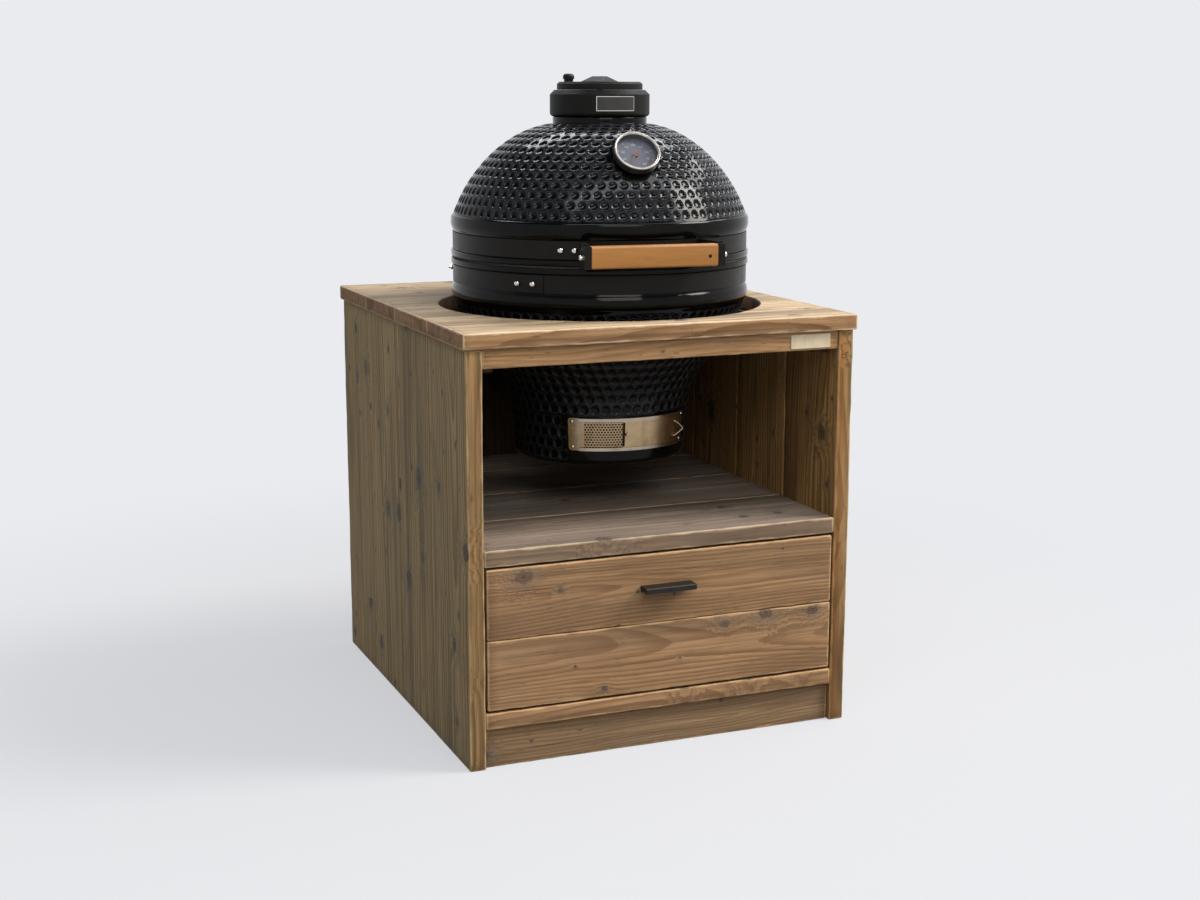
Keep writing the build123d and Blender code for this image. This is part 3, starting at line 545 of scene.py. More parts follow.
@dataclass(frozen=True)
class Metal(Finish):
    """Brushed or polished metal with fine scratches, smudges and a trace of tarnish."""

    base: Colour
    tarnish: Colour
    rough: float
    metal: float = 1.0
    brush: Brush = Brush.NONE
    depth: float = 0.00012
    cloudy: float = 0.5
    shine: float = 0.5

    def paint(self, g: Graph) -> None:
        """Adds the nodes of the metal.

        Args:
            g: the finish's nodes.
        """
        where = g.place()
        lines = g.grain(where, self.brush.value, 3.0, 0.6)
        smudge = g.noise(where, 38.0, 3.0, 0.6)
        shares = (g.ease(smudge, 0.4, 0.8) * self.cloudy, (lines - 0.4) * 0.5)
        g.finish({
            "Base Color": g.layers(self.base, *((share, self.tarnish) for share in shares)),
            "Roughness": self.rough + (lines - 0.5) * 0.2 + (smudge - 0.5) * 0.16,
            "Metallic": self.metal,
            "Normal": g.bump(lines, 0.5, self.depth),
            "Specular IOR Level": self.shine,
        })


@dataclass(frozen=True)
class Felt(Finish):
    """Dark pressed felt of the rim gaskets."""

    base: Colour = tint(44, 40, 36)
    wool: Colour = tint(88, 80, 70)

    def paint(self, g: Graph) -> None:
        """Adds the nodes of the felt.

        Args:
            g: the finish's nodes.
        """
        sockets = {"Vector": g.place(), "Scale": 900.0, "Detail": 4.0, "Roughness": 0.7, "Distortion": 1.0}
        hair = g.out(g.node("ShaderNodeTexNoise", None, sockets), "Fac")
        colour = g.mix(hair, self.base, self.wool)
        g.finish({"Base Color": colour, "Roughness": 0.95, "Normal": g.bump(hair, 0.8, 0.0008)})


@dataclass(frozen=True)
class Enamel(Finish):
    """Painted or printed plate with a fine speckle."""

    base: Colour
    fleck: Colour
    rough: float = 0.4

    def paint(self, g: Graph) -> None:
        """Adds the nodes of the enamel.

        Args:
            g: the finish's nodes.
        """
        where = g.place()
        broad = g.noise(where, 60.0, 3.0)
        fine = g.noise(where, 700.0, 2.0)
        g.finish({
            "Base Color": g.mix(g.ease(broad, 0.35, 0.75) * 0.6 + (fine - 0.5) * 0.4, self.base, self.fleck),
            "Roughness": self.rough + (fine - 0.5) * 0.15,
            "Normal": g.bump(fine, 0.25, 0.0002),
        })


@dataclass(frozen=True)
class ClearGlass(Finish):
    """The thermometer's window, slightly dusty."""

    body: Colour = tint(44, 50, 60)

    def paint(self, g: Graph) -> None:
        """Adds the nodes of the window.

        Args:
            g: the finish's nodes.
        """
        dust = g.noise(g.place(), 500.0, 3.0, 0.6)
        g.finish({
            "Base Color": self.body,
            "Roughness": 0.03 + g.ease(dust, 0.55, 0.8) * 0.12,
            "Alpha": 0.14 + g.ease(dust, 0.5, 0.85) * 0.05,
            "Specular IOR Level": 0.4,
        })


SCAFFOLD = PlankWood("scaffold_wood")
# A lighter, warmer copy of the scaffold wood on the aprons: painted light where the top's overhang shades them.
APRON_WOOD_PAINTED_LIGHT = PlankWood("scaffold_wood_apron_painted_light", tint(192, 150, 104), tint(146, 108, 70), greyness=0.2)
PLINTH_WOOD = PlankWood("scaffold_wood_plinth", tint(144, 117, 86), tint(104, 82, 59))
# The back planks' inner faces, inside the niche, are darkened to about a quarter: painted shade.
BACK_WOOD_PAINTED_SHADE = PlankWood("scaffold_wood_back_painted_shade", inner=(0.24, 0.22, 0.20, 1.0))
CLEAT_WOOD = PlankWood(
    "scaffold_wood_cleat", tint(72, 57, 43), tint(52, 41, 31), tint(64, 55, 45), tint(46, 37, 28), tint(84, 68, 51)
)
SIDE_WOOD = PlankWood(
    "scaffold_wood_side",
    early=tint(180, 155, 108), late=tint(116, 95, 62), grey=tint(150, 138, 110), stain=tint(84, 71, 49),
    bare=tint(198, 170, 124), knot=tint(80, 72, 62), scar=tint(52, 50, 47), halo=tint(102, 98, 88),
    sawn=(1.0, 0.82, 0.72, 1.0), contrast=1.0, banding=0.5, ring=0.0090, knot_share=0.7, knot_size=0.013,
)
RIGHT_WOOD = replace(SIDE_WOOD, label="scaffold_wood_right", inner=(1.0, 0.80, 0.62, 1.0))
SHELF_WOOD = PlankWood(
    "scaffold_wood_shelf",
    early=tint(142, 126, 112), late=tint(100, 86, 75), grey=tint(126, 116, 107), stain=tint(82, 72, 63),
    bare=tint(196, 172, 140), sawn=(1.0, 0.88, 0.74, 1.0), greyness=0.6,
)
TOP_WOOD = PlankWood(
    "scaffold_wood_top",
    early=tint(204, 180, 147), late=tint(140, 115, 86), grey=tint(168, 153, 128), stain=tint(92, 75, 56),
    bare=tint(216, 192, 162), halo=tint(120, 108, 95), sawn=(0.66, 0.50, 0.37, 1.0), contrast=0.9, banding=0.8,
)
BOX_WOOD = PlankWood(
    "drawer_box_wood",
    early=tint(198, 170, 130), late=tint(170, 136, 96), grey=tint(184, 162, 130), stain=tint(150, 120, 86),
    bare=tint(214, 192, 156), greyness=0.2, knot_share=0.12, ring=0.0034,
)
HANDLE_WOOD = BarWood("handle_wood")
GLAZE = Glaze("black_glaze")
FIRE_CLAY = Mineral("fire_clay", tint(104, 94, 82), tint(62, 55, 48))
RAW_CLAY = Mineral("raw_clay", tint(96, 88, 78), tint(58, 52, 46))
CAST = Mineral("cast_iron", tint(20, 20, 18), tint(13, 13, 11), 0.5, 520.0, 0.0004, 0.12)
BLACK_STEEL = Metal("black_steel", tint(23, 20, 17), tint(15, 13, 11), 0.34, 0.0, depth=0.00005, shine=0.14)
STAINLESS = Metal("stainless", tint(180, 168, 149), tint(130, 116, 96), 0.26, brush=Brush.LEVEL)
DOOR_STEEL = Metal("door_steel", tint(184, 158, 124), tint(126, 104, 77), 0.32, brush=Brush.LEVEL)
BEZEL = Metal("bezel_steel", tint(158, 154, 148), tint(110, 104, 96), 0.34, cloudy=0.4)
BRIGHT = Metal("bright_bolts", tint(214, 210, 204), tint(150, 142, 132), 0.16, cloudy=0.3)
RUNNER = Metal("runner_steel", tint(176, 178, 180), tint(140, 142, 146), 0.35, brush=Brush.LEVEL)
PULL = Metal("pull_black", tint(25, 22, 20), tint(36, 32, 28), 0.42, 0.0, Brush.LEVEL, shine=0.25)
FELT = Felt("felt")
GLASS = ClearGlass("dial_glass")
DIAL = Enamel("dial_face", tint(106, 108, 122), tint(90, 92, 107))
NEEDLE = Enamel("needle_orange", tint(150, 104, 80), tint(132, 90, 66), 0.35)
PLATE = Enamel("cream_plate", tint(206, 190, 162), tint(184, 166, 138), 0.5)
PALE_MARK = Enamel("pale_marks", tint(206, 208, 202), tint(186, 190, 186), 0.5)
RED_MARK = Enamel("red_mark", tint(142, 70, 62), tint(126, 60, 54), 0.5)
DARK_PLATE = Enamel("dark_plate", tint(26, 24, 23), tint(34, 32, 30), 0.45)


def linked(name: str, data: Any) -> bpy.types.Object:
    """A new object in the scene that shows the data.

    Args:
        name: name of the object.
        data: what it shows.

    Returns:
        The object.
    """
    made = bpy.data.objects.new(name, data)
    bpy.context.scene.collection.objects.link(made)
    return made


def evaluated(holder: bpy.types.Object) -> bpy.types.Mesh:
    """The mesh of an object as its modifiers or its curve make it."""
    return bpy.data.meshes.new_from_object(holder.evaluated_get(bpy.context.evaluated_depsgraph_get()))


def baked(name: str, curve: bpy.types.Curve) -> bpy.types.Mesh:
    """The mesh of a curve or of a text.

    Args:
        name: name of the passing object.
        curve: the curve or text.

    Returns:
        The mesh.
    """
    holder = linked(name, curve)
    mesh = evaluated(holder)
    bpy.data.objects.remove(holder)
    return mesh


def moved(place: Matrix, rows: Iterable[Iterable[Triple]]) -> np.ndarray:
    """Rows of points of a place's own frame, in mm, as points in metres."""
    return np.array([[place @ (Vector(p) * MM) for p in row] for row in rows])


def smooth(mesh: bpy.types.Mesh, sharp: float) -> None:
    """Shades a mesh smooth, with edges over that many degrees kept sharp.

    Args:
        mesh: the mesh.
        sharp: the angle.
    """
    mesh.polygons.foreach_set("use_smooth", [True] * len(mesh.polygons))
    mesh.set_sharp_from_angle(angle=math.radians(sharp))
    mesh.update()


def coat(mesh: bpy.types.Mesh, finish: Finish, sharp: float) -> None:
    """Gives a whole mesh one finish and smooth shading, with edges over sharp degrees kept.

    Args:
        mesh: the mesh.
        finish: the finish.
        sharp: the angle.
    """
    mesh.materials.clear()
    mesh.materials.append(finish.material())
    mesh.polygons.foreach_set("material_index", [0] * len(mesh.polygons))
    smooth(mesh, sharp)


class Form:
    """Points and faces of one piece, in metres in the part's frame, with a finish for each face."""

    def __init__(self) -> None:
        """Starts with nothing."""
        self.points: list[np.ndarray] = []
        self.marks: list[np.ndarray] = []
        self.faces: list[tuple[int, ...]] = []
        self.finishes: list[int] = []
        self.count = 0

    def add(
        self, points: np.ndarray, faces: Iterable[Sequence[int]], finish: int = 0, marks: np.ndarray | None = None
    ) -> None:
        """Adds points with their faces.

        Args:
            points: rows of x, y, z.
            faces: rings of indices into points.
            finish: index of the faces' finish.
            marks: how much of a cup's rim each point is, from 0 to 1, which sets the glaze's painted reflection
                there.
        """
        start = self.count
        self.points.append(np.asarray(points, float).reshape(-1, 3))
        self.marks.append(np.zeros(len(self.points[-1])) if marks is None else marks)
        self.count += len(self.points[-1])
        for face in faces:
            self.faces.append(tuple(start + i for i in face))
            self.finishes.append(finish)

    @staticmethod
    def quads(rows: int, columns: int, around: bool = True) -> list[list[int]]:
        """The faces of a net of rows by columns, whose last column joins the first or not.

        Args:
            rows: how many rows.
            columns: how many columns.
            around: whether it joins.

        Returns:
            Rings of indices.
        """
        i, j = np.meshgrid(np.arange(rows - 1), np.arange(columns if around else columns - 1), indexing="ij")
        k = (j + 1) % columns
        net = [i * columns + j, i * columns + k, (i + 1) * columns + k, (i + 1) * columns + j]
        return np.stack(net, -1).reshape(-1, 4).tolist()

    def grid(self, net: np.ndarray, finish: int = 0, around: bool = True) -> None:
        """Adds a net of points, rows by columns by three."""
        self.add(net.reshape(-1, 3), self.quads(*net.shape[:2], around), finish)

    def block(self, net: np.ndarray) -> None:
        """Adds a net of points that is closed by a face at its first and its last row.

        Args:
            net: rows by columns by three.
        """
        self.grid(net)
        for end in (0, -1):
            self.add(net[end], [list(range(net.shape[1]))])

    def strip(self, line: Callable[[float, float], np.ndarray], heights: Pair, stands: Pair) -> None:
        """Adds a bent bar of rectangular section.

        Args:
            line: gives the bar's line of points at a height and a stand.
            heights: its lower and upper edge.
            stands: its back and face.
        """
        (low, high), (back, face) = heights, stands
        loop = ((low, back), (low, face), (high, face), (high, back), (low, back))
        net = np.array([line(height, stand) for height, stand in loop])
        self.grid(net, 0, False)
        for end in (0, -1):
            self.add(net[:4, end], [[0, 1, 2, 3]])

    def turned(self, place: Matrix, profile: Profile, columns: int) -> None:
        """Adds a profile turned round the z axis of a place.

        Args:
            place: the place, in metres.
            profile: radius and height of each row, in mm.
            columns: steps round the axis.
        """
        angles = np.arange(columns) * FULL / columns
        rows = [[(r * math.cos(a), r * math.sin(a), z) for a in angles] for r, z in profile]
        self.grid(moved(place, rows))

    def piece(
        self, name: str, finishes: Sequence[Finish], weld: float = 0.0, sharp: float = 32.0
    ) -> bpy.types.Object:
        """Makes the object.

        Args:
            name: name of the piece.
            finishes: the finishes by index.
            weld: distance within which points become one, in metres.
            sharp: edges bent by more than this many degrees stay sharp.

        Returns:
            The object, at the origin.
        """
        mesh = bpy.data.meshes.new(name)
        mesh.from_pydata(np.concatenate(self.points).tolist(), [], self.faces)
        for finish in finishes:
            mesh.materials.append(finish.material())
        mesh.polygons.foreach_set("material_index", self.finishes)
        marks = np.concatenate(self.marks)
        # the rim marks become the rim attribute, which carries the glaze's painted reflection
        if marks.any():
            mesh.attributes.new("rim", "FLOAT", "POINT").data.foreach_set("value", marks)
        shell = bmesh.new()
        shell.from_mesh(mesh)
        if weld:
            bmesh.ops.remove_doubles(shell, verts=shell.verts, dist=weld)
        bmesh.ops.recalc_face_normals(shell, faces=shell.faces)
        shell.to_mesh(mesh)
        shell.free()
        smooth(mesh, sharp)
        return linked(name, mesh)


def seat(piece: bpy.types.Object, body: str, slot: str, *nodes: str) -> None:
    """Puts a piece on its body.

    Args:
        piece: the piece, in place.
        body: the body that carries it.
        slot: the record's material slot; not used.
        nodes: the nodes that it stands for.
    """
    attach(piece, body)
    if nodes:
        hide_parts(*nodes)
    log.info("%s rides on %s", piece.name, body)


def dress(finish: Finish, *nodes: str) -> None:
    """Gives solids that keep their own shape a finish.

    Args:
        finish: the finish.
        nodes: names of the solids' nodes.
    """
    for name in nodes:
        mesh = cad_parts[name].data
        for index in range(len(mesh.materials)):
            mesh.materials[index] = finish.material()
        log.info("%s wears %s", name, finish.label)


@dataclass(frozen=True)
class Curve:
    """A smooth line through points of a profile, in mm, with even steps along it."""

    points: tuple[Pair, ...]

    def at(self, shares: np.ndarray) -> np.ndarray:
        """Points at shares of the line's length.

        Args:
            shares: values from 0 to 1.

        Returns:
            Rows of radius and height.
        """
        p = np.array(self.points, float)
        step = np.linalg.norm(np.diff(p, axis=0), axis=1)
        knot = np.concatenate([[0.0], np.cumsum(step)])
        n = len(p)
        system, right = np.zeros((n, n)), np.zeros((n, 2))
        slope = np.diff(p, axis=0) / step[:, None]
        for i in range(1, n - 1):
            system[i, i - 1 : i + 2] = step[i], 2 * (step[i - 1] + step[i]), step[i - 1]
            right[i] = 3 * (step[i] * slope[i - 1] + step[i - 1] * slope[i])
        system[0, :2], system[-1, -2:] = (2, 1), (1, 2)
        right[0], right[-1] = 3 * slope[0], 3 * slope[-1]
        tangent = np.linalg.solve(system, right)

        def cubic(s: np.ndarray) -> np.ndarray:
            """Points at places s along the chords.

            Args:
                s: the places.

            Returns:
                Rows of radius and height.
            """
            i = np.clip(np.searchsorted(knot, s, side="right") - 1, 0, n - 2)
            u, h = ((s - knot[i]) / step[i])[:, None], step[i][:, None]
            start = (2 * u**3 - 3 * u**2 + 1) * p[i] + (u**3 - 2 * u**2 + u) * h * tangent[i]
            return start + (3 * u**2 - 2 * u**3) * p[i + 1] + (u**3 - u**2) * h * tangent[i + 1]

        fine = np.linspace(0, knot[-1], 600)
        run = np.concatenate([[0.0], np.cumsum(np.linalg.norm(np.diff(cubic(fine), axis=0), axis=1))])
        return cubic(np.interp(np.asarray(shares) * run[-1], run, fine))

    def length(self) -> float:
        """The line's length in mm."""
        line = self.at(np.linspace(0, 1, 300))
        return float(np.linalg.norm(np.diff(line, axis=0), axis=1).sum())


def arc(start: Pair, middle: Pair, end: Pair, count: int) -> list[Pair]:
    """That many points on the circle from start through middle to end.

    Args:
        start: first point.
        middle: a point between.
        end: last point.
        count: how many.

    Returns:
        The points in order.
    """
    (ax, ay), (bx, by), (cx, cy) = start, middle, end
    d = 2 * (ax * (by - cy) + bx * (cy - ay) + cx * (ay - by))
    a2, b2, c2 = ax * ax + ay * ay, bx * bx + by * by, cx * cx + cy * cy
    ux = (a2 * (by - cy) + b2 * (cy - ay) + c2 * (ay - by)) / d
    uy = (a2 * (cx - bx) + b2 * (ax - cx) + c2 * (bx - ax)) / d
    radius, first = math.hypot(ax - ux, ay - uy), math.atan2(ay - uy, ax - ux)
    turn = (math.atan2(cy - uy, cx - ux) - first + math.pi) % FULL - math.pi
    angles = [first + turn * i / (count - 1) for i in range(count)]
    return [(ux + radius * math.cos(a), uy + radius * math.sin(a)) for a in angles]


def rounded(half: Pair, radius: float, steps: int) -> list[Pair]:
    """Outline of a rectangle with round corners.

    Args:
        half: half its sides.
        radius: radius of its corners.
        steps: points of each corner.

    Returns:
        The points in order.
    """
    outline = []
    for quarter, (sx, sy) in enumerate(QUARTERS):
        for step in range(steps):
            a = math.pi / 2 * (quarter + step / (steps - 1))
            outline.append((sx * (half[0] - radius) + radius * math.cos(a),
                            sy * (half[1] - radius) + radius * math.sin(a)))
    return outline


@dataclass
class GrillPlace:
    """Where the grill stands, and its own round coordinates: angles run from its front to its right."""

    centre: Pair = (14.5, -43.5)
    turn: float = -5.0

    def spin(self, angles: np.ndarray, radii: Reals, heights: Reals) -> np.ndarray:
        """Places points given round the grill's axis.

        Args:
            angles: in radians.
            radii: in mm.
            heights: in mm.

        Returns:
            Points in metres, with a last axis of three.
        """
        x, y = radii * np.sin(angles), -radii * np.cos(angles)
        c, s = math.cos(math.radians(self.turn)), math.sin(math.radians(self.turn))
        return np.stack([x * c - y * s + self.centre[0], x * s + y * c + self.centre[1], heights + 0 * x], -1) * MM

    def spot(self, angle: float, radius: float, height: float) -> np.ndarray:
        """One point, from an angle in degrees and two lengths in mm."""
        return self.spin(np.radians([angle]), np.array([radius]), np.array([height]))[0]

    def facing(self, angle: float, radius: float, height: float) -> Matrix:
        """A place on the grill's side whose z axis points outwards."""
        here, axis = self.spot(angle, radius, height), self.spot(angle, 0.0, height)
        return Matrix.Translation(here) @ Vector(here - axis).to_track_quat("Z", "Y").to_matrix().to_4x4()

    def lathe(self, profile: Profile, columns: int) -> np.ndarray:
        """A profile of radius and height in mm, turned round the axis: rows by columns by three."""
        line = np.array(profile, float)
        return self.spin((np.arange(columns) * 2 * np.pi / columns)[None, :], line[:, :1], line[:, 1:])

    def matrix(self) -> Matrix:
        """The grill's own frame, in metres."""
        spot = Vector((self.centre[0], self.centre[1], 0)) * MM
        return Matrix.Translation(spot) @ Matrix.Rotation(math.radians(self.turn), 4, "Z")


@dataclass
class Board:
    """One plank: a long block with softly worn, slightly wavy edges inside its solid's box."""

    low: Vector
    high: Vector
    seed: int
    wear: float = 1.9
    steps: int = 34
    across: int = 7
    pitches: tuple[float, ...] = (2.1, 5.3, 11.7, 23.0)
    dents: int = 3
    dent_widths: Pair = (0.006, 0.02)
    nose: float = 1.4
    rounding: Pair = (0.5, 1.9)
    sag: float = 0.5
    corner_steps: int = 4

    def __post_init__(self) -> None:
        """Finds the grain, width and thickness axes from the box's sides."""
        size = [self.high[i] - self.low[i] for i in range(3)]
        self.axes = sorted(range(3), key=lambda i: -size[i])
        self.half = np.array([size[i] / 2 for i in self.axes])
        self.centre = np.array([(self.high[i] + self.low[i]) / 2 for i in self.axes])
        self.luck = np.random.RandomState(self.seed)
        self.share = self.luck.rand(3)

    def local(self, points: np.ndarray) -> np.ndarray:
        """The plank's own coordinates of points."""
        return points[:, self.axes] - self.centre

    def wave(self, places: np.ndarray, low: float, high: float) -> np.ndarray:
        """A smooth seeded wave along the plank, from low to high, at places in metres.

        Args:
            places: places along the plank.
            low: least value.
            high: largest value.

        Returns:
            The wave at the places.
        """
        total = np.zeros_like(places)
        for pitch in self.pitches:
            total += np.sin(places * pitch * 2 * np.pi * (0.8 + 0.4 * self.luck.rand()) + 6.3 * self.luck.rand())
        return low + (high - low) * np.clip(0.5 + total / 5, 0, 1)

    def build(self, form: Form) -> None:
        """Adds the plank to a form.

        Args:
            form: the form that gets it.
        """
        hu, hv, hw = self.half
        nose = self.nose * self.wear * MM
        inner = np.linspace(-hu + nose, hu - nose, self.steps)
        places = np.concatenate([[-hu, -hu + 0.3 * nose], inner, [hu - 0.3 * nose, hu]])
        inset = np.concatenate([[nose, 0.3 * nose], np.zeros(self.steps), [0.3 * nose, nose]])
        least, most = (share * self.wear for share in self.rounding)
        radii = [self.wave(places, least, most) * MM for _ in QUARTERS]
        for radius in radii:
            for _ in range(self.dents):
                dent, width = self.luck.uniform(-hu, hu), self.luck.uniform(*self.dent_widths)
                radius += self.luck.rand() * self.wear * MM * np.exp(-(((places - dent) / width) ** 2))
        sag_v, sag_w = (self.wave(places, 0, self.sag) * MM for _ in range(2))
        rings = []
        for k, (at, cut) in enumerate(zip(places, inset)):
            v, w = hv - cut - sag_v[k], hw - cut - sag_w[k]
            ring: list[Triple] = []
            for quarter, (sv, sw) in enumerate(QUARTERS):
                r = min(radii[quarter][k], v * 0.8, w * 0.8)
                for step in range(self.corner_steps):
                    a = math.pi / 2 * (quarter + step / (self.corner_steps - 1))
                    ring.append((at, sv * (v - r) + r * math.cos(a), sw * (w - r) + r * math.sin(a)))
                if quarter % 2 == 0:
                    start, stop = v - r, -(v - radii[(quarter + 1) % 4][k])
                    for i in range(1, self.across):
                        ring.append((at, sv * (start + (stop - start) * i / self.across), sw * w))
            rings.append(ring)
        world = (np.array(rings) + self.centre)[..., np.argsort(self.axes)]
        rows, columns = world.shape[:2]
        ends = [list(range(columns)), [(rows - 1) * columns + c for c in range(columns)]]
        form.add(world.reshape(-1, 3), Form.quads(rows, columns) + ends)


def islands(node: str) -> list[Box]:
    """The boxes of a node's separate solids, as lowest and highest corner, in order of place.

    Args:
        node: name of the node.

    Returns:
        The boxes.
    """
    bm = bmesh.new()
    bm.from_mesh(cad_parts[node].data)
    bmesh.ops.remove_doubles(bm, verts=bm.verts, dist=WELD)
    left = set(bm.verts)
    boxes = []
    while left:
        stack = [left.pop()]
        seen = [stack[0].co.copy()]
        while stack:
            for vert in {v for edge in stack.pop().link_edges for v in edge.verts} & left:
                left.remove(vert)
                stack.append(vert)
                seen.append(vert.co.copy())
        boxes.append((Vector(map(min, *seen)), Vector(map(max, *seen))))
    bm.free()
    return sorted(boxes, key=lambda box: tuple(round(c, 4) for c in box[0]))


def stamp(mesh: bpy.types.Mesh, boards: Sequence[tuple[Board, int, int]]) -> None:
    """Stores each plank's own coordinates, half sizes and seed on its points.

    Args:
        mesh: the mesh.
        boards: each plank with its first point and the one after its last.
    """
    points = np.zeros(len(mesh.vertices) * 3)
    mesh.vertices.foreach_get("co", points)
    points = points.reshape(-1, 3)
    values = {key: np.zeros_like(points) for key in ("plank", "half", "seed")}
    for board, start, stop in boards:
        values["plank"][start:stop] = board.local(points[start:stop])
        values["half"][start:stop] = board.half
        values["seed"][start:stop] = board.share
    for key, rows in values.items():
        mesh.attributes.new(key, "FLOAT_VECTOR", "POINT").data.foreach_set("vector", rows.reshape(-1))


def planks(name: str, boxes: Sequence[Box], seed: int, finish: Finish, wear: float = 1.9) -> bpy.types.Object:
    """A piece of one or more planks.

    Args:
        name: name of the piece.
        boxes: the planks' boxes.
        seed: seed of the first plank.
        finish: the wood.
        wear: rounding of the edges, in mm.

    Returns:
        The piece.
    """
    form = Form()
    boards = []
    for index, (low, high) in enumerate(boxes):
        board, start = Board(low, high, seed + index, wear), form.count
        board.build(form)
        boards.append((board, start, form.count))
    piece = form.piece(name, [finish], sharp=WOOD_SHARP)
    stamp(piece.data, boards)
    return piece


@dataclass
class Cabinet:
    """The fixed carcass: side, back, top, shelf and floor planks, plinth, aprons and cleats."""

    grill: GrillPlace
    cutout_radius: float = 298.5
    cutout_bevel: float = 1.8
    cutout_reach: float = 40.0
    cutout_columns: int = 180
    plate_size: Triple = (78.0, 1.2, 25.0)
    plate_centre: Pair = (276.0, 704.0)
    plate_corner: float = 2.5
    plate_bevel: float = 0.35
    first_seed: int = 110
    top_seed: int = 150
    top_wear: float = 2.0
    top_steps: int = 60
    top_across: int = 10

    def cutter(self, low: float, high: float) -> bpy.types.Object:
        """The round block that the grill's cut-out removes, flared at its ends.

        Args:
            low: underside of the top, in metres.
            high: upper side of the top, in metres.

        Returns:
            The block.
        """
        r, bevel, reach = self.cutout_radius, self.cutout_bevel, self.cutout_reach
        foot, top = low / MM, high / MM
        profile = [(AXIS, foot - reach), (r + reach, foot - reach + bevel), (r, foot + bevel), (r, top - bevel)]
        profile += [(r + 0.5 * bevel, top - 0.4 * bevel), (r + reach, top + reach), (AXIS, top + reach + 1)]
        form = Form()
        form.grid(self.grill.lathe(profile, self.cutout_columns))
        return form.piece("cutout_block", [TOP_WOOD], weld=1e-4)

    def top(self) -> None:
        """Builds the four top planks, cut round for the grill."""
        for index in range(1, 5):
            node = f"top_plank_{index}"
            low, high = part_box(node)
            board = Board(low, high, self.top_seed + index, self.top_wear, self.top_steps, self.top_across)
            form = Form()
            board.build(form)
            piece = form.piece(node + "_worn", [TOP_WOOD], sharp=WOOD_SHARP)
            cut = piece.modifiers.new("cutout", "BOOLEAN")
            cut.operation, cut.solver = "DIFFERENCE", "EXACT"
            cut.object = self.cutter(low.z, high.z)
            mesh = evaluated(piece)
            bpy.data.objects.remove(cut.object)
            piece.modifiers.clear()
            piece.data = mesh
            coat(mesh, TOP_WOOD, WOOD_SHARP)
            stamp(mesh, [(board, 0, len(mesh.vertices))])
            seat(piece, "cabinet", "scaffold_wood", node)

    def carcass(self) -> None:
        """Builds every other plank of the carcass."""
        names = [f"side_plank_{side}_{i}" for side in ("left", "right") for i in range(1, 5)]
        names += [f"shelf_plank_{i}" for i in range(1, 5)]
        names += ["back_planks", "floor_planks", "plinth", "aprons", "cleats"]
        woods = {"side_plank_left": SIDE_WOOD, "side_plank_right": RIGHT_WOOD, "shelf_plank": SHELF_WOOD}
        woods |= {"back_planks": BACK_WOOD_PAINTED_SHADE, "cleats": CLEAT_WOOD, "aprons": APRON_WOOD_PAINTED_LIGHT, "plinth": PLINTH_WOOD}
        for index, node in enumerate(names):
            wood = woods.get(node.rstrip("_1234"), SCAFFOLD)
            piece = planks(node + "_worn", islands(node), self.first_seed + 5 * index, wood)
            seat(piece, "cabinet", "scaffold_wood", node)
        dress(RUNNER, "cabinet_runners")

    def plate(self) -> None:
        """Fixes the blank plate on the front apron."""
        front = min(box[0].y for box in islands("aprons")) / MM
        (x, z), (width, thick, height) = self.plate_centre, self.plate_size
        outline = rounded((width / 2, height / 2), self.plate_corner, 5)
        rim = self.plate_bevel * thick
        rows = []
        for depth, cut in ((0.0, 0.0), (thick - rim, 0.0), (thick, rim)):
            rows.append([(x + a * (1 - 2 * cut / width), front - depth, z + b * (1 - 2 * cut / height))
                         for a, b in outline])
        form = Form()
        form.block(np.array(rows) * MM)
        seat(form.piece("apron_plate", [PLATE]), "cabinet", "scaffold_wood")

    def build(self) -> None:
        """Builds the whole carcass."""
        self.top()
        self.carcass()
        self.plate()


@dataclass
class Drawer:
    """The drawer: two front planks, its box, its runners and the black bar pull."""

    front_seed: int = 310
    box_seed: int = 320
    box_wear: float = 0.8

    def build(self) -> None:
        """Builds the drawer's pieces."""
        for index, node in enumerate(("drawer_front_lower", "drawer_front_upper")):
            piece = planks(node + "_worn", islands(node), self.front_seed + index, SCAFFOLD)
            seat(piece, "drawer", "scaffold_wood", node)
        box = ("drawer_side_left", "drawer_side_right", "drawer_back", "drawer_bottom")
        for index, node in enumerate(box):
            piece = planks(node + "_board", islands(node), self.box_seed + index, BOX_WOOD, self.box_wear)
            seat(piece, "drawer", "drawer_box_wood", node)
        dress(PULL, "drawer_pull")
        dress(RUNNER, "drawer_runners")


def zip_rings(form: Form, low: np.ndarray, high: np.ndarray) -> None:
    """Joins two rings of points, of any two counts, with triangles.

    Args:
        form: the form that gets the faces.
        low: points of the first ring, even round the grill's axis from near its front.
        high: points of the second ring.
    """
    n, m = len(low), len(high)
    middle = low.mean(axis=0)
    turns = []
    for ring in (low, high):
        angle = np.unwrap(np.arctan2(ring[:, 0] - middle[0], middle[1] - ring[:, 1]))
        turns.append(np.concatenate([angle, angle[:1] + 2 * np.pi]))
    faces = []
    i = j = 0
    while i < n or j < m:
        if j == m or (i < n and turns[0][i + 1] <= turns[1][j + 1]):
            faces.append((i % n, (i + 1) % n, n + j % m))
            i += 1
        else:
            faces.append((i % n, n + (j + 1) % m, n + j % m))
            j += 1
    form.add(np.concatenate([low, high]), faces)


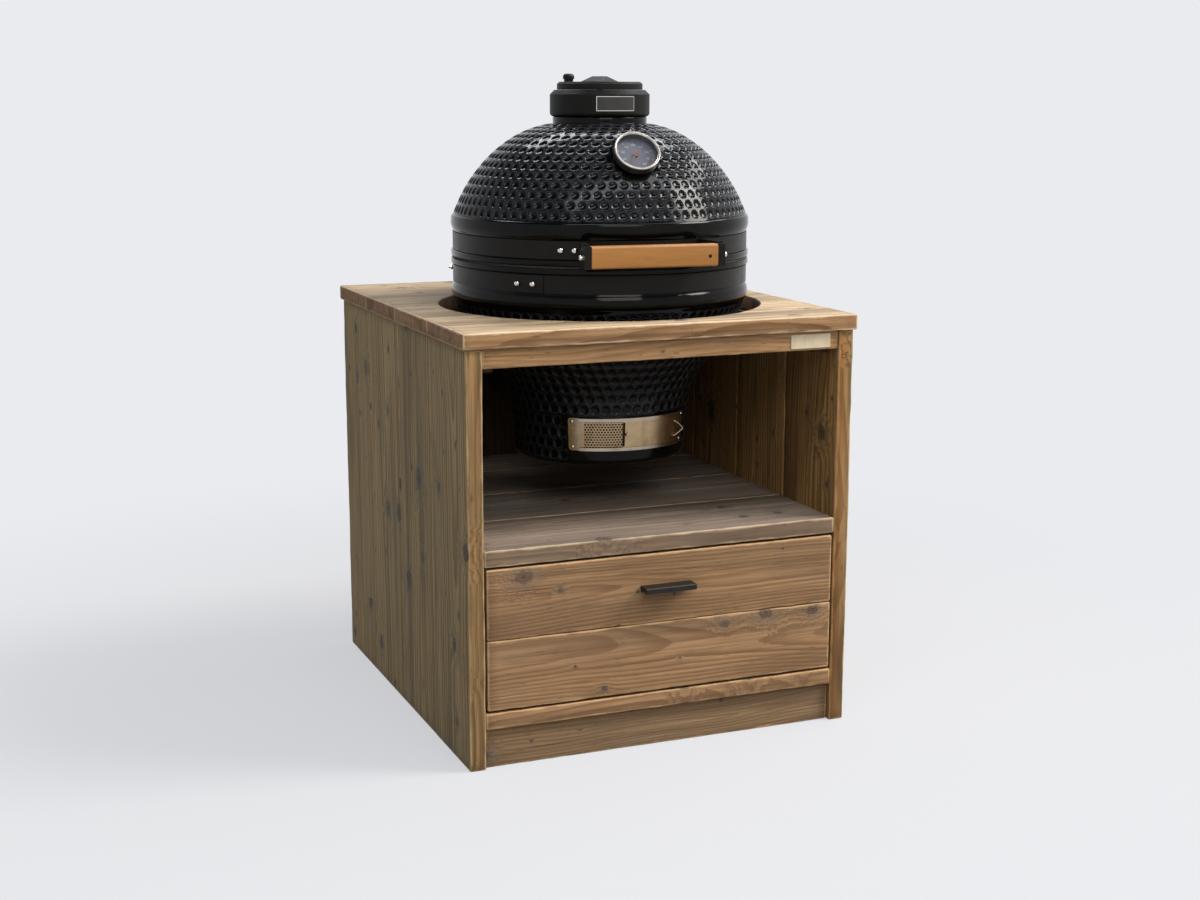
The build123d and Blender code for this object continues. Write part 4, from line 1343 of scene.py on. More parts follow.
@dataclass
class DimpledSkin:
    """A turned skin covered with rings of round dimples, each a small cup inside its own cell. The steps
    of a cup are shares of its radius, its depth and its rim's mark, which sets the painted reflection
    on the rim."""

    grill: GrillPlace
    line: Curve
    rows: int
    start: float = 0.01
    stop: float = 0.99
    pitch: float = 19.6
    cup: float = 9.4
    depth: float = 2.9
    # edge scales the rim marks, that is the painted reflection on the rims
    edge: float = 1.0
    strip: float = 0.02
    count: int = 0
    gap: tuple[int, int] = (0, 0)
    plain: Sequence[tuple[np.ndarray, float]] = field(default_factory=list)
    blend: float = 0.004
    across: int = 6
    upright: int = 4
    fit: float = 0.478
    steps: tuple[Triple, ...] = (
        (1.0, 0.02, 1.0), (0.93, 0.20, 0.8), (0.80, 0.50, 0.1), (0.56, 0.80, 0.0), (0.28, 0.95, 0.0)
    )

    def surface(self, angles: np.ndarray, shares: np.ndarray, sink: np.ndarray) -> np.ndarray:
        """Points of the skin.

        Args:
            angles: in radians.
            shares: places along the line.
            sink: depth below the skin in mm.

        Returns:
            Points in metres.
        """
        flat = shares.reshape(-1)
        here = self.line.at(flat)
        ahead = self.line.at(np.minimum(flat + 1e-3, 1.0)) - self.line.at(np.maximum(flat - 1e-3, 0.0))
        ahead /= np.linalg.norm(ahead, axis=1)[:, None]
        radius = (here[:, 0] - ahead[:, 1] * sink.reshape(-1)).reshape(shares.shape)
        height = (here[:, 1] + ahead[:, 0] * sink.reshape(-1)).reshape(shares.shape)
        return self.grill.spin(angles, radius, height)

    def cell(self, wide: float, tall: float) -> tuple[np.ndarray, np.ndarray, np.ndarray, list[list[int]]]:
        """One cell.

        Args:
            wide: its width in mm.
            tall: its height in mm.

        Returns:
            Its points as shares of width and height, their depths and rim marks from 0 to 1, and its faces.
        """
        a, u = self.across, self.upright
        border = [(-0.5 + i / a, -0.5) for i in range(a)] + [(0.5, -0.5 + i / u) for i in range(u)]
        border += [(0.5 - i / a, 0.5) for i in range(a)] + [(-0.5, 0.5 - i / u) for i in range(u)]
        n, last = len(border), len(self.steps)
        aim = [math.atan2(y * tall, x * wide) for x, y in border]
        reach = min(self.cup, self.fit * wide, self.fit * tall)
        points, sinks, marks = list(border), [0.0] * n, [0.5] * n
        for share, sink, mark in self.steps:
            points += [(reach * share * math.cos(t) / wide, reach * share * math.sin(t) / tall) for t in aim]
            sinks += [sink * reach / self.cup] * n
            marks += [mark] * n
        points.append((0.0, 0.0))
        sinks.append(reach / self.cup)
        marks.append(0.0)
        end = last * n
        faces = Form.quads(last + 1, n) + [[end + i, end + (i + 1) % n, end + n] for i in range(n)]
        return np.array(points), np.array(sinks), np.array(marks), faces

    def ring(self, share: float, count: int, phase: float) -> np.ndarray:
        """Points of a cell row's edge, all round."""
        angles = (np.arange(count * self.across) / self.across + phase - 0.5) * 2 * np.pi / count
        return self.surface(angles, np.full_like(angles, share), np.zeros_like(angles))

    def add(self, form: Form) -> tuple[np.ndarray, np.ndarray]:
        """Adds every cell to a form.

        Args:
            form: the form.

        Returns:
            The first and the last ring of points.
        """
        length = self.line.length()
        tall = (self.stop - self.start) / self.rows
        strip = 0.0 if self.count else self.strip * tall
        high = tall - 2 * strip
        first = last = np.zeros((0, 3))
        for row in range(self.rows):
            middle = self.start + tall * (row + 0.5)
            radius = self.line.at(np.array([middle]))[0, 0]
            count = self.count or round(FULL * radius / self.pitch)
            phase = 0.5 * (row % 2)
            points, sinks, marks, faces = self.cell(FULL * radius / count, high * length)
            cells = np.arange(self.gap[1], count - self.gap[0] + (1 if self.gap[0] and not row % 2 else 0))
            centres = (cells + phase) * FULL / count
            angles = centres[:, None] + points[None, :, 0] * FULL / count
            shares = np.clip(middle + points[None, :, 1] * high + 0 * angles, 0, 1)
            spots = self.surface(centres, np.full(len(cells), middle), np.zeros(len(cells)))
            strength = np.ones(len(cells))
            for spot, reach in self.plain:
                strength *= np.clip((np.linalg.norm(spots - spot, axis=1) - reach) / self.blend, 0, 1)
            net = self.surface(angles, shares, sinks[None, :] * self.depth * strength[:, None])
            every = [[i + len(points) * k for i in face] for k in range(len(cells)) for face in faces]
            form.add(net.reshape(-1, 3), every, 0, (marks[None, :] * strength[:, None] * self.edge).reshape(-1))
            lower = self.ring(middle - high / 2, count, phase)
            if len(last) and strip:
                zip_rings(form, last, lower)
            first = first if len(first) else lower
            last = self.ring(middle + high / 2, count, phase)
        return first, last


@dataclass
class GrillBase:
    """The grill's base: dimpled bowl with its draught window, band, bolts, support frame and fire parts.
    Profiles are radius and height in mm."""

    grill: GrillPlace
    columns: int = 312
    waist: Curve = Curve((
        (166.0, 560.0), (172.1, 590.0), (184.5, 617.5), (203.5, 646.1),
        (221.3, 670.3), (241.9, 700.5), (257.7, 730.1), (268.0, 757.5),
    ))
    foot: Curve = Curve(((158.53, 476.0), (162.27, 518.0), (166.0, 560.0)))
    shoulder: tuple[Pair, ...] = ((268.0, 757.5), (274.0, 774.0), (269.0, 790.5))
    rim: tuple[Pair, ...] = (
        (269.0, 823.0), (271.0, 823.6), (274.0, 825.4), (274.0, 832.6), (273.4, 834.2), (272.0, 835.0)
    )
    inside: tuple[Pair, ...] = (
        (272.0, 835.0), (250.0, 835.0), (250.0, 800.0), (250.0, 757.5), (242.5, 737.1), (226.0, 706.5),
        (205.1, 677.9), (178.0, 644.1), (158.1, 613.8), (148.0, 590.0), (142.0, 560.0), (141.2, 551.0),
    )
    hearth: tuple[Pair, ...] = ((136.9, 503.0), (136.1, 494.0), (0.02, 494.0))
    sole: tuple[Pair, ...] = ((0.02, 470.0), (152.0, 470.0), (157.2, 473.6), (158.53, 476.0))
    inner_slope: float = 0.0896
    window: tuple[int, int] = (9, 25)
    window_columns: tuple[int, int] = (-19, 30)
    rows: int = 11
    foot_rows: int = 4
    foot_count: int = 52
    foot_steps: int = 7
    foot_gap: tuple[int, int] = (6, 8)
    nut_place: Triple = (-107.0, 271.0, 813.0)
    nut_parts: tuple[tuple[int, tuple[Pair, ...]], ...] = (
        (18, ((5.6, -0.4), (5.6, 0.8), (5.0, 1.0), (0.01, 1.0))),
        (6, ((4.3, 0.6), (4.5, 1.0), (4.5, 4.4), (3.9, 4.9), (0.01, 4.9))),
        (16, ((2.2, 4.0), (2.2, 8.2), (1.5, 8.9), (0.01, 8.9))),
    )

    def bowl(self) -> None:
        """Builds the bowl's outer and inner skin."""
        form = Form()
        first, last = DimpledSkin(self.grill, self.waist, self.rows).add(form)
        over = self.grill.lathe(arc(*self.shoulder, 9) + list(self.rim), self.columns)
        form.grid(over)
        zip_rings(form, last, over[0])
        form.grid(self.grill.lathe(self.inside, self.columns), 1)
        self.wall(form, first)
        form.grid(self.grill.lathe(self.hearth, self.columns), 1)
        form.grid(self.grill.lathe(self.sole, self.columns))
        piece = form.piece("base_bowl_glazed", [GLAZE, RAW_CLAY], weld=SKIN_WELD, sharp=SKIN_SHARP)
        seat(piece, "cabinet", "black_glaze", "base_bowl")

    def wall(self, form: Form, above: np.ndarray) -> None:
        """Adds the foot's wall, inside and out: dimpled, but plain round the window that goes through it.

        Args:
            form: the bowl's form.
            above: ring of points that the wall meets at its top.
        """
        skin = DimpledSkin(
            self.grill, self.foot, self.foot_rows, 0.0, 1.0,
            count=self.foot_count, gap=self.foot_gap, upright=self.foot_steps,
        )
        _, last = skin.add(form)
        zip_rings(form, last, above)
        n, levels = self.columns, self.foot_rows * self.foot_steps
        per = n // self.foot_count
        shares, angles = np.linspace(0, 1, levels + 1), np.arange(n) * 2 * np.pi / n
        flat = np.zeros((levels + 1, n))
        outer = skin.surface(angles[None, :] + flat, shares[:, None] + flat, flat)
        (low, high), (left, right) = self.window, self.window_columns
        heights = self.foot.at(shares[low : high + 1])[:, 1]
        r0, z0 = self.hearth[0]
        inside = self.grill.lathe([(r0 + (z - z0) * self.inner_slope, z) for z in heights], n)

        def quad(i: int, j: int) -> list[int]:
            """The face right of column j, above row i."""
            a, b = j % n, (j + 1) % n
            return [i * n + a, i * n + b, (i + 1) * n + b, (i + 1) * n + a]

        faces = []
        for i in range(levels):
            shift = 0.0 if (i // self.foot_steps) % 2 else 0.5
            for j in range(round((shift - self.foot_gap[0]) * per), round((self.foot_gap[1] - shift) * per)):
                if not (low <= i < high and left <= j < right):
                    faces.append(quad(i, j))
        form.add(outer.reshape(-1, 3), faces)
        closed = [j for j in range(n) if not left <= (j + n // 2) % n - n // 2 < right]
        form.add(inside.reshape(-1, 3), [quad(i, j) for i in range(high - low) for j in closed], 1)
        around = [(low, c) for c in range(left, right)] + [(r, right) for r in range(low, high)]
        around += [(high, c) for c in range(right, left, -1)] + [(r, left) for r in range(high, low, -1)]
        form.grid(np.array([[outer[r, c % n] for r, c in around], [inside[r - low, c % n] for r, c in around]]), 1)

    def nut(self) -> None:
        """Screws the band's clamp nut on its left side: washer, six-sided nut and the bolt's end."""
        form = Form()
        for sides, profile in self.nut_parts:
            form.turned(self.grill.facing(*self.nut_place), profile, sides)
        seat(form.piece("band_clamp_nut", [BRIGHT]), "cabinet", "bright_bolts")

    def build(self) -> None:
        """Builds the base and dresses what it carries."""
        self.bowl()
        self.nut()
        dress(BLACK_STEEL, "lower_band", "hinge_lower_bracket", "hinge_barrel", "support_frame")
        dress(BRIGHT, "lower_band_bolts", "hinge_pin")
        dress(FELT, "base_gasket")
        dress(FIRE_CLAY, "fire_box", "fire_ring")
        dress(CAST, "charcoal_grate")
        dress(STAINLESS, "cooking_grate")


@dataclass
class DraughtDoor:
    """The draught frame with its screws, the perforated screen and the plain door. Lengths are in mm,
    stands are distances off the base's wall, and angles are in degrees from the grill's front."""

    grill: GrillPlace
    foot: Pair = (158.0, 470.0)
    slope: float = 8 / 90
    middle: float = 527.0
    plate_face: float = 1.7
    screen_stands: Pair = (2.1, 3.3)
    heights: Pair = (498.6, 555.4)
    screen_sweep: Pair = (-29.5, 15.5)
    hole_pitch: float = 5.4
    hole_radius: float = 2.15
    border: float = 2.2
    overlap: float = 0.6
    # a dark strip behind the screen's left end: painted shade
    painted_shade_sweep: Pair = (-29.4, -21.0)
    painted_shade_heights: Pair = (500.6, 553.4)
    painted_shade_stands: Pair = (1.6, 1.9)
    # the door's lip is dark as painted shade of the gap between screen and door
    lip_sweep: Pair = (-2.5, -1.3)
    lip_heights: Pair = (505.0, 549.0)
    lip_stands: Pair = (4.6, 5.9)
    screw_angles: Pair = (-34.6, 47.6)
    screw_heights: Pair = (503.4, 550.6)
    screw_head: tuple[Pair, ...] = ((0.01, 1.7), (1.2, 1.65), (2.4, 1.2), (3.1, 0.4), (3.2, -0.2))
    pull_radius: float = 1.3
    pull_path: tuple[Triple, ...] = (
        (37.2, 541.0, 4.4), (37.6, 541.0, 6.6), (40.6, 530.0, 15.4), (41.2, 527.0, 17.0),
        (40.6, 524.0, 15.4), (37.6, 513.0, 6.6), (37.2, 513.0, 4.4),
    )

    def wall(self, height: Reals) -> Reals:
        """Radius of the base's foot at a height, or at an array of them."""
        return self.foot[0] + (height - self.foot[1]) * self.slope

    def along(self, angle: float) -> float:
        """Distance along the wall from the front, at mid height."""
        return math.radians(angle) * self.wall(self.middle)

    def curved(self, along: np.ndarray, heights: Reals, stand: float) -> np.ndarray:
        """Points in metres on the foot's cone, from distances along the wall, heights and a stand."""
        return self.grill.spin(along / self.wall(self.middle), self.wall(heights) + stand, heights)

    def screen(self) -> None:
        """Builds the perforated screen: rows of small holes inside a plain border."""
        left, right = (self.along(a) for a in self.screen_sweep)
        (low, high), (back, face) = self.heights, self.screen_stands
        pitch, rise, side = self.hole_pitch, self.hole_pitch * math.sqrt(3) / 2, self.hole_pitch / math.sqrt(3)
        x0, x1, z0, z1 = left + self.border, right - self.border, low + self.border, high - self.border
        columns, rows = int((x1 - x0) / pitch), int((z1 - z0) / rise)
        x0, z0 = (x0 + x1 - columns * pitch) / 2, (z0 + z1 - rows * rise) / 2
        form = Form()
        hexagon = np.array([(math.sin(math.pi / 3 * k), math.cos(math.pi / 3 * k)) for k in range(6)])
        for row in range(rows):
            for column in range(columns - row % 2):
                spot = (x0 + pitch * (column + 0.5 + 0.5 * (row % 2)), z0 + rise * (row + 0.5))
                rings = ((side, face), (self.hole_radius, face), (self.hole_radius, back), (side, back))
                form.grid(np.array([self.curved(*(spot + hexagon * r).T, s) for r, s in rings]))
        edge = self.overlap
        for from_x, to_x, heights in (
            (left, right, (low, z0 + edge)),
            (left, right, (z0 + rows * rise - edge, high)),
            (left, x0 + pitch / 2 + edge, (low, high)),
            (x0 + columns * pitch - pitch / 2 - edge, right, (low, high)),
        ):
            form.strip(partial(self.curved, np.linspace(from_x, to_x, 24)), heights, self.screen_stands)
        piece = form.piece("mesh_screen_fine", [DOOR_STEEL], weld=WELD)
        seat(piece, "mesh_screen", "stainless", "mesh_screen")

    def strip(self, name: str, sweep: Pair, heights: Pair, stands: Pair, body: str) -> None:
        """Adds a dark strip of painted shade that follows the wall: behind the screen's end, or on the door's lip
        beside the gap.

        Args:
            name: name of the piece.
            sweep: its first and last angle.
            heights: its lower and upper edge.
            stands: its back and face.
            body: the body that carries it.
        """
        form = Form()
        along = np.linspace(*(self.along(a) for a in sweep), 9)
        form.strip(partial(self.curved, along), heights, stands)
        seat(form.piece(name, [CAST], weld=WELD), body, "stainless")

    def screws(self) -> None:
        """Puts a domed screw in each corner of the frame."""
        form = Form()
        for angle in self.screw_angles:
            for height in self.screw_heights:
                place = self.grill.facing(angle, self.wall(height) + self.plate_face, height)
                form.turned(place, self.screw_head, 14)
        seat(form.piece("draught_frame_screws", [BRIGHT]), "cabinet", "bright_bolts")

    def pull(self) -> None:
        """Bends the door's wire pull near its right end."""
        curve = bpy.data.curves.new("draught_door_pull", "CURVE")
        curve.dimensions = "3D"
        spline = curve.splines.new("NURBS")
        spline.points.add(len(self.pull_path) - 1)
        for point, (angle, height, stand) in zip(spline.points, self.pull_path):
            point.co = (*self.grill.spot(angle, self.wall(height) + stand, height), 1.0)
        spline.order_u = 3
        spline.use_endpoint_u = True
        curve.bevel_depth = self.pull_radius * MM
        curve.bevel_resolution = 3
        curve.use_fill_caps = True
        mesh = baked("draught_door_pull", curve)
        coat(mesh, STAINLESS, 50.0)
        seat(linked("draught_door_pull", mesh), "draft_door", "stainless")

    def build(self) -> None:
        """Builds the screen, screws and pull and dresses the frame and door."""
        dress(STAINLESS, "vent_frame")
        dress(DOOR_STEEL, "draft_door")
        # painted shade: a dark strip behind the screen's left end
        self.strip("draught_frame_painted_shade", self.painted_shade_sweep, self.painted_shade_heights, self.painted_shade_stands, "cabinet")
        # the door's lip, dark as painted shade of the gap beside it
        self.strip("draught_door_lip", self.lip_sweep, self.lip_heights, self.lip_stands, "draft_door")
        self.screen()
        self.screws()
        self.pull()


@dataclass
class GrillDome:
    """The dome: dimpled crown, bands, cast cap with its blank plate, vent disc and hinge. Profiles are
    radius and height in mm."""

    grill: GrillPlace
    columns: int = 504
    crown: Curve = Curve((
        (270.0, 912.6), (254.5, 947.2), (232.8, 982.2), (202.6, 1017.2),
        (174.1, 1041.0), (155.9, 1052.6), (131.5, 1064.4), (86.0, 1076.6),
    ))
    collar: tuple[Pair, ...] = (
        (85.6, 1078.5), (86.0, 1080.0), (86.0, 1085.6), (85.2, 1087.0),
        (83.6, 1087.6), (78.0, 1087.6), (78.0, 1103.6),
    )
    skirt: tuple[Pair, ...] = (
        (272.0, 838.1), (273.4, 838.9), (274.0, 840.1), (274.0, 848.1), (272.6, 849.4), (269.0, 850.1)
    )
    bead: tuple[Pair, ...] = ((269.0, 882.6), (273.5, 892.4), (273.9, 904.0))
    ledge: tuple[Pair, ...] = ((273.7, 907.0), (273.2, 909.2), (272.3, 911.0), (271.2, 912.1), (270.0, 912.6))
    inside: tuple[Pair, ...] = (
        (78.0, 1103.6), (58.0, 1103.6), (58.0, 1052.6), (110.0, 1042.0), (162.4, 1019.7), (196.0, 989.0),
        (217.7, 964.4), (234.0, 938.0), (246.0, 912.6), (250.0, 912.6), (250.0, 870.0), (250.0, 838.1),
        (272.0, 838.1),
    )
    rows: int = 13
    dimpled: Pair = (0.01, 0.97)
    dial_spot: Triple = DIAL_CENTRE
    dial_reach: float = 44.0
    plate_turn: float = 2.0
    plate_sweep: float = 23.0
    plate_heights: Pair = (1098.0, 1124.0)
    plate_sunk: float = 0.4
    plate_steps: int = 25
    plate_layers: tuple[tuple[str, Finish, float, float], ...] = (
        ("cap_plate_border", BRIGHT, 0.0, 0.5), ("cap_plate", DARK_PLATE, 1.3, 0.9)
    )
    cap_radius: float = 91.0

    def shell(self) -> None:
        """Builds the dome's outer and inner skin."""
        form = Form()
        plain = [(np.array(self.dial_spot) * MM, self.dial_reach * MM)]
        first, last = DimpledSkin(self.grill, self.crown, self.rows, *self.dimpled, plain=plain).add(form)
        neck = [tuple(p) for p in self.crown.at(np.array([0.985, 1.0]))] + list(self.collar)
        net = self.grill.lathe(neck, self.columns)
        form.grid(net)
        zip_rings(form, last, net[0])
        net = self.grill.lathe(list(self.skirt) + arc(*self.bead, 7) + list(self.ledge), self.columns)
        form.grid(net)
        zip_rings(form, net[-1], first)
        form.grid(self.grill.lathe(self.inside, self.columns), 1)
        piece = form.piece("dome_shell_glazed", [GLAZE, RAW_CLAY], weld=SKIN_WELD, sharp=SKIN_SHARP)
        seat(piece, "dome", "black_glaze", "dome_shell")

    def plate(self) -> None:
        """Fixes the blank plate, with its thin bright border, on the cap's front."""
        low, high = self.plate_heights
        for name, finish, inset, stand in self.plate_layers:
            turn = math.radians(self.plate_sweep) - inset / self.cap_radius
            angles = np.linspace(-turn, turn, self.plate_steps) + math.radians(self.plate_turn)
            stands = (self.cap_radius - self.plate_sunk, self.cap_radius + stand)
            form = Form()
            form.strip(lambda z, r: self.grill.spin(angles, r, z), (low + inset, high - inset), stands)
            seat(form.piece(name, [finish], weld=WELD), "dome", "cast_iron")

    def build(self) -> None:
        """Builds the dome and dresses what it carries."""
        self.shell()
        self.plate()
        dress(BLACK_STEEL, "upper_band", "hinge_upper_bracket", "vent_knob")
        dress(FELT, "dome_gasket")
        dress(CAST, "cap_body", "vent_disc")


@dataclass
class Handle:
    """The dome's handle: a wooden bar between two black brackets, with domed nuts. Lengths are in mm in the
    grill's own frame."""

    grill: GrillPlace
    bar_half: Triple = (113.0, 12.0, 19.0)
    bar_centre: Triple = (0.0, -308.0, 859.35)
    corner: float = 4.0
    bevel: float = 1.0
    straight: float = 12.0
    plug: Pair = (98.0, 858.0)
    plug_head: tuple[Pair, ...] = ((0.01, 0.25), (2.6, 0.2), (3.2, 0.0), (3.2, -1.0))

    def bar(self) -> None:
        """Builds the bar with rounded edges."""
        hx, hy, hz = self.bar_half
        section = rounded((hy, hz), self.corner, 6)
        inner = np.linspace(-hx + self.straight, hx - self.straight, 9)
        cuts = [(-hx, self.bevel), (-hx + self.bevel, 0.0), *((x, 0.0) for x in inner)]
        cuts += [(hx - self.bevel, 0.0), (hx, self.bevel)]
        own = np.array([[(x, y * (1 - cut / hy), z * (1 - cut / hz)) for y, z in section] for x, cut in cuts])
        place = self.grill.matrix() @ Matrix.Translation(Vector(self.bar_centre) * MM)
        form = Form()
        form.block(moved(place, own))
        piece = form.piece("handle_bar_wood", [HANDLE_WOOD])
        points = np.concatenate([own.reshape(-1, 3), own[0], own[-1]]) * MM
        piece.data.attributes.new("plank", "FLOAT_VECTOR", "POINT").data.foreach_set("vector", points.reshape(-1))
        seat(piece, "dome", "handle_wood", "handle_bar")

    def stopper(self) -> None:
        """Sets the small dark plug into the bar's face, near its right end."""
        x, z = self.plug
        spot = Vector((x, self.bar_centre[1] - self.bar_half[1], z)) * MM
        form = Form()
        place = self.grill.matrix() @ Matrix.Translation(spot) @ Matrix.Rotation(math.pi / 2, 4, "X")
        form.turned(place, self.plug_head, 16)
        seat(form.piece("handle_bar_plug", [BLACK_STEEL]), "dome", "black_steel")

    def build(self) -> None:
        """Builds the handle's pieces."""
        self.bar()
        self.stopper()
        dress(BLACK_STEEL, "handle_brackets")
        dress(BRIGHT, "handle_bolts")


@dataclass
class Thermometer:
    """The dome's round thermometer: steel case, blue-grey dial with numerals, orange needle, glass. Lengths
    are in mm, and angles on the dial run clockwise from its top in degrees."""

    origin: Triple = DIAL_CENTRE
    normal: Triple = (-0.066765, -0.763129, 0.642788)
    side: Triple = (0.996195, -0.087156, 0.0)
    face: float = 9.25
    sweep: Pair = (-145.0, 145.0)
    steps: int = 8
    between: int = 5
    by: int = 50
    long_tick: Pair = (29.2, 0.55)
    short_tick: Pair = (31.2, 0.3)
    tick_end: float = 33.6
    tick_heights: Pair = (-0.1, 0.12)
    numeral_radius: float = 22.6
    numeral_size: float = 5.6
    numeral_depth: float = 0.06
    numeral_lift: float = 0.07
    hot_sweep: Pair = (98.0, 148.0)
    hot_radii: Pair = (25.0, 27.4)
    hot_heights: Pair = (-0.1, 0.14)
    bezel: tuple[Pair, ...] = (
        (12.0, 5.0), (36.0, 6.0), (39.6, 7.6), (40.6, 10.0), (40.6, 18.5), (41.0, 19.4), (41.0, 22.2),
        (40.5, 23.5), (39.4, 24.0), (38.2, 23.6), (37.6, 22.7), (37.2, 22.6), (36.7, 23.0), (36.1, 22.6),
        (35.9, 21.6), (35.9, 21.85), (38.7, 21.8), (38.7, 9.3), (38.7, 8.9),
    )

    def __post_init__(self) -> None:
        """Sets up the dial's own frame."""
        out, right = Vector(self.normal).normalized(), Vector(self.side).normalized()
        axes = Matrix((right, out.cross(right).normalized(), out)).transposed()
        self.place = Matrix.Translation(Vector(self.origin) * MM) @ axes.to_4x4()

    def case(self) -> None:
        """Builds the case with its rolled double bezel."""
        form = Form()
        form.turned(self.place, self.bezel, 72)
        seat(form.piece("thermometer_bezel", [BEZEL], sharp=60.0), "dome", "stainless", "thermometer_case")

    def marks(self) -> None:
        """Prints the ticks and numerals on the dial."""
        form = Form()
        count = self.steps * self.between
        for i, turn in enumerate(np.radians(np.linspace(*self.sweep, count + 1))):
            start, half = self.short_tick if i % self.between else self.long_tick
            across = Vector((math.cos(turn), -math.sin(turn), 0))
            along = Vector((math.sin(turn), math.cos(turn), 0))
            corners = ((start, -half), (start, half), (self.tick_end, half), (self.tick_end, -half))
            ring = [along * r + across * w for r, w in corners]
            levels = [Vector((0, 0, self.face + z)) for z in self.tick_heights]
            net = moved(self.place, [[p + level for p in ring] for level in levels])
            form.grid(net)
            form.add(net[1], [[0, 1, 2, 3]])
        for i, turn in enumerate(np.radians(np.linspace(*self.sweep, self.steps + 1))):
            self.numeral(form, str(self.by * i), turn)
        seat(form.piece("dial_marks", [PALE_MARK]), "dome", "dial_face")

    def arc(self) -> None:
        """Prints the red arc of the hot range on the dial.
        """
        (near, far), (low, high) = self.hot_radii, self.hot_heights
        angles = np.radians(np.linspace(*self.hot_sweep, 26))
        loop = ((near, low), (near, high), (far, high), (far, low))
        form = Form()
        net = [[(r * math.sin(a), r * math.cos(a), self.face + z) for a in angles] for r, z in loop]
        form.grid(moved(self.place, net), 0, False)
        seat(form.piece("dial_hot_arc", [RED_MARK]), "dome", "dial_face")

    def numeral(self, form: Form, words: str, turn: float) -> None:
        """Adds one numeral of the dial.

        Args:
            form: the form that gets it.
            words: the figures.
            turn: clockwise angle from the top, in radians.
        """
        text = bpy.data.curves.new("numeral", "FONT")
        text.body, text.size, text.extrude = words, self.numeral_size, self.numeral_depth
        text.align_x = text.align_y = "CENTER"
        mesh = baked("numeral", text)
        r = self.numeral_radius
        middle = Vector((r * math.sin(turn), r * math.cos(turn), self.face + self.numeral_lift))
        spots = [self.place @ ((v.co + middle) * MM) for v in mesh.vertices]
        form.add(np.array(spots), [list(p.vertices) for p in mesh.polygons])
        bpy.data.meshes.remove(mesh)

    def build(self) -> None:
        """Builds the thermometer's pieces."""
        self.case()
        self.marks()
        self.arc()
        dress(DIAL, "thermometer_dial")
        dress(GLASS, "thermometer_glass")
        dress(NEEDLE, "thermometer_needle")


def aim(data: bpy.types.Light, place: Triple) -> bpy.types.Object:
    """Puts a lamp at a place, turned to the object.

    Args:
        data: the lamp.
        place: where it hangs, in metres.

    Returns:
        The lamp's object.
    """
    made = linked(data.name, data)
    made.location = place
    made.rotation_euler = Vector(place).to_track_quat("Z", "Y").to_euler()
    return made


@dataclass(frozen=True)
class Lamp:
    """A soft rectangular lamp aimed at the object, or a card that only shows in glossy surfaces."""

    name: str
    place: Triple
    size: Pair
    power: float
    colour: Triple
    card: bool = False

    def hang(self) -> None:
        """Puts the lamp in its place."""
        data = bpy.data.lights.new(self.name, "AREA")
        data.shape = "RECTANGLE"
        data.size, data.size_y = self.size
        data.energy = self.power
        data.color = self.colour
        aim(data, self.place).visible_diffuse = not self.card


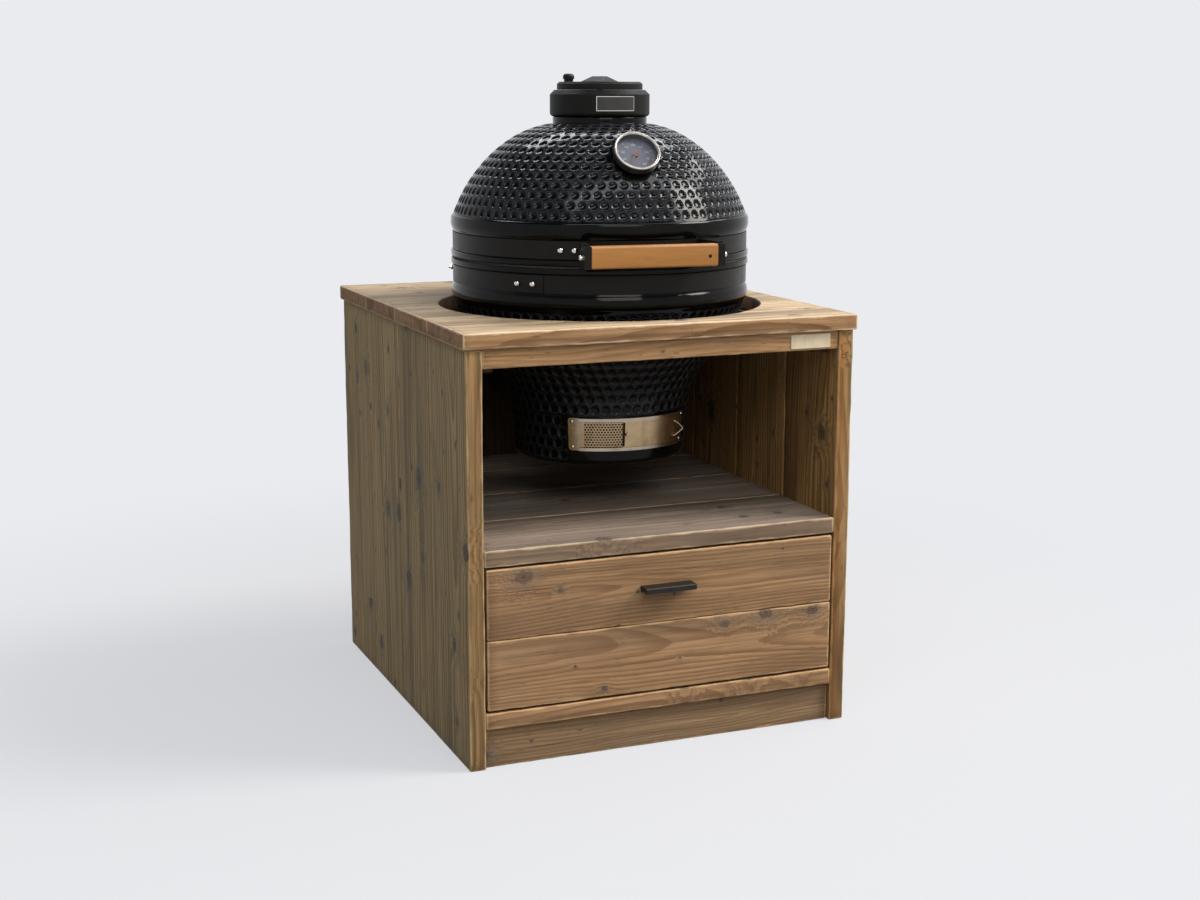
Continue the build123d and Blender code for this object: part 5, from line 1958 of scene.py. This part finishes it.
@dataclass
class Studio:
    """Pale floor, pale backdrop under a dark ceiling, soft lamps and the camera."""

    pale: Colour = tint(234, 235, 239)
    ground: Colour = (0.24, 0.235, 0.23, 1.0)
    catch: Colour = (0.50, 0.505, 0.52, 1.0)
    ceiling: Colour = tint(58, 62, 68)
    ceiling_rise: Pair = (0.34, 0.72)
    glow: float = 0.62
    floor_radii: tuple[float, ...] = (1.0, 1000.0, 3000.0, 9000.0)
    floor_columns: int = 96
    shade_radius: Pair = (0.8, 2.2)
    camera_place: Triple = (-1.2409, -3.1083, 1.1283)
    camera_turn: Triple = (78.698, -0.086, -22.285)
    lens: float = 53.48
    sensor: float = 36.0
    fill: float = 0.36
    sky: Colour = tint(244, 246, 250)
    sun_place: Triple = (2.25, -0.81, 1.80)
    sun_power: float = 2.9
    sun_angle: float = 24.0
    sun_colour: Triple = (1.0, 0.95, 0.87)
    lamps: tuple[Lamp, ...] = (
        Lamp("front", (-0.4, -4.0, 3.0), (2.4, 1.6), 60.0, (1.0, 0.98, 0.95)),
        Lamp("strip", (0.2, -1.5, 3.6), (5.0, 0.6), 80.0, (0.93, 0.96, 1.0)),
        Lamp("side_strip", (2.6, -0.5, 3.0), (4.0, 0.5), 55.0, (1.0, 0.98, 0.95)),
        Lamp("back_card", (0.6, 1.4, 3.1), (2.8, 0.7), 70.0, (0.94, 0.97, 1.0), card=True),
    )

    @staticmethod
    def direct(g: Graph) -> Signal:
        """1 for the rays that see the backdrop: from the camera, or by way of a mirror or glass.

        Args:
            g: the nodes.

        Returns:
            The share, 0 or 1.
        """
        path = g.node("ShaderNodeLightPath")
        seen = g.math("MAXIMUM", g.out(path, "Is Camera Ray"), g.out(path, "Is Glossy Ray"))
        return g.math("MAXIMUM", seen, g.out(path, "Is Transmission Ray"))

    def floor(self) -> None:
        """Builds the floor, a broad disc that fades into the backdrop and keeps the object's shadow."""
        form = Form()
        form.turned(Matrix.Identity(4), [(r, 0.0) for r in self.floor_radii], self.floor_columns)
        g = Graph("pale_floor")
        x, y, _ = g.split(g.place())
        fade = g.ease(g.math("SQRT", x * x + y * y), *self.shade_radius)
        g.finish({"Base Color": self.ground, "Roughness": 0.9, "Specular IOR Level": 0.0})
        catch = g.node("ShaderNodeBsdfDiffuse", None, {"Color": self.catch})
        glow = g.node("ShaderNodeEmission", None, {"Color": self.pale, "Strength": 1.0})
        share = self.glow + fade * (1 - self.glow)
        blend = g.node("ShaderNodeMixShader", None, {0: share, 1: g.out(catch), 2: g.out(glow)})
        show = g.node("ShaderNodeMixShader", None, {0: self.direct(g), 1: g.out(g.shader), 2: g.out(blend)})
        g.fill(g.output, {0: g.out(show)})
        disc = form.piece("floor", [RAW_CLAY])
        disc.data.materials[0] = g.material

    def world(self) -> None:
        """Sets the backdrop and the even light from all round."""
        world = bpy.data.worlds.new("studio")
        bpy.context.scene.world = world
        world.use_nodes = True
        g = Graph.of_world(world)
        light = g.node("ShaderNodeBackground", None, {"Color": self.sky, "Strength": self.fill})
        _, _, rise = g.split(g.out(g.node("ShaderNodeTexCoord"), "Generated"))
        colour = g.mix(g.ease(rise, *self.ceiling_rise), self.pale, self.ceiling)
        seen = g.node("ShaderNodeBackground", None, {"Color": colour, "Strength": 1.0})
        mix = g.node("ShaderNodeMixShader", None, {0: self.direct(g), 1: g.out(light), 2: g.out(seen)})
        g.node("ShaderNodeOutputWorld", None, {0: g.out(mix)})

    def key(self) -> None:
        """Hangs the broad key light, from the right and above."""
        data = bpy.data.lights.new("key", "SUN")
        data.energy, data.color = self.sun_power, self.sun_colour
        data.angle = math.radians(self.sun_angle)
        aim(data, self.sun_place)

    def camera(self) -> None:
        """Sets the camera at the photograph's place."""
        data = bpy.data.cameras.new("camera")
        data.lens, data.sensor_width = self.lens, self.sensor
        made = linked("camera", data)
        made.location = self.camera_place
        made.rotation_euler = [math.radians(a) for a in self.camera_turn]
        bpy.context.scene.camera = made

    def build(self) -> None:
        """Builds the studio."""
        self.floor()
        self.world()
        self.key()
        for lamp in self.lamps:
            lamp.hang()
        self.camera()
        bpy.context.scene.view_settings.view_transform = "Standard"


def main() -> None:
    """Builds the outdoor kitchen piece by piece."""
    logging.basicConfig(level=logging.INFO, format="%(name)s: %(message)s")
    grill = GrillPlace()
    Studio().build()
    Cabinet(grill).build()
    Drawer().build()
    GrillBase(grill).build()
    DraughtDoor(grill).build()
    GrillDome(grill).build()
    Handle(grill).build()
    Thermometer().build()


if __name__ == "__main__":
    main()
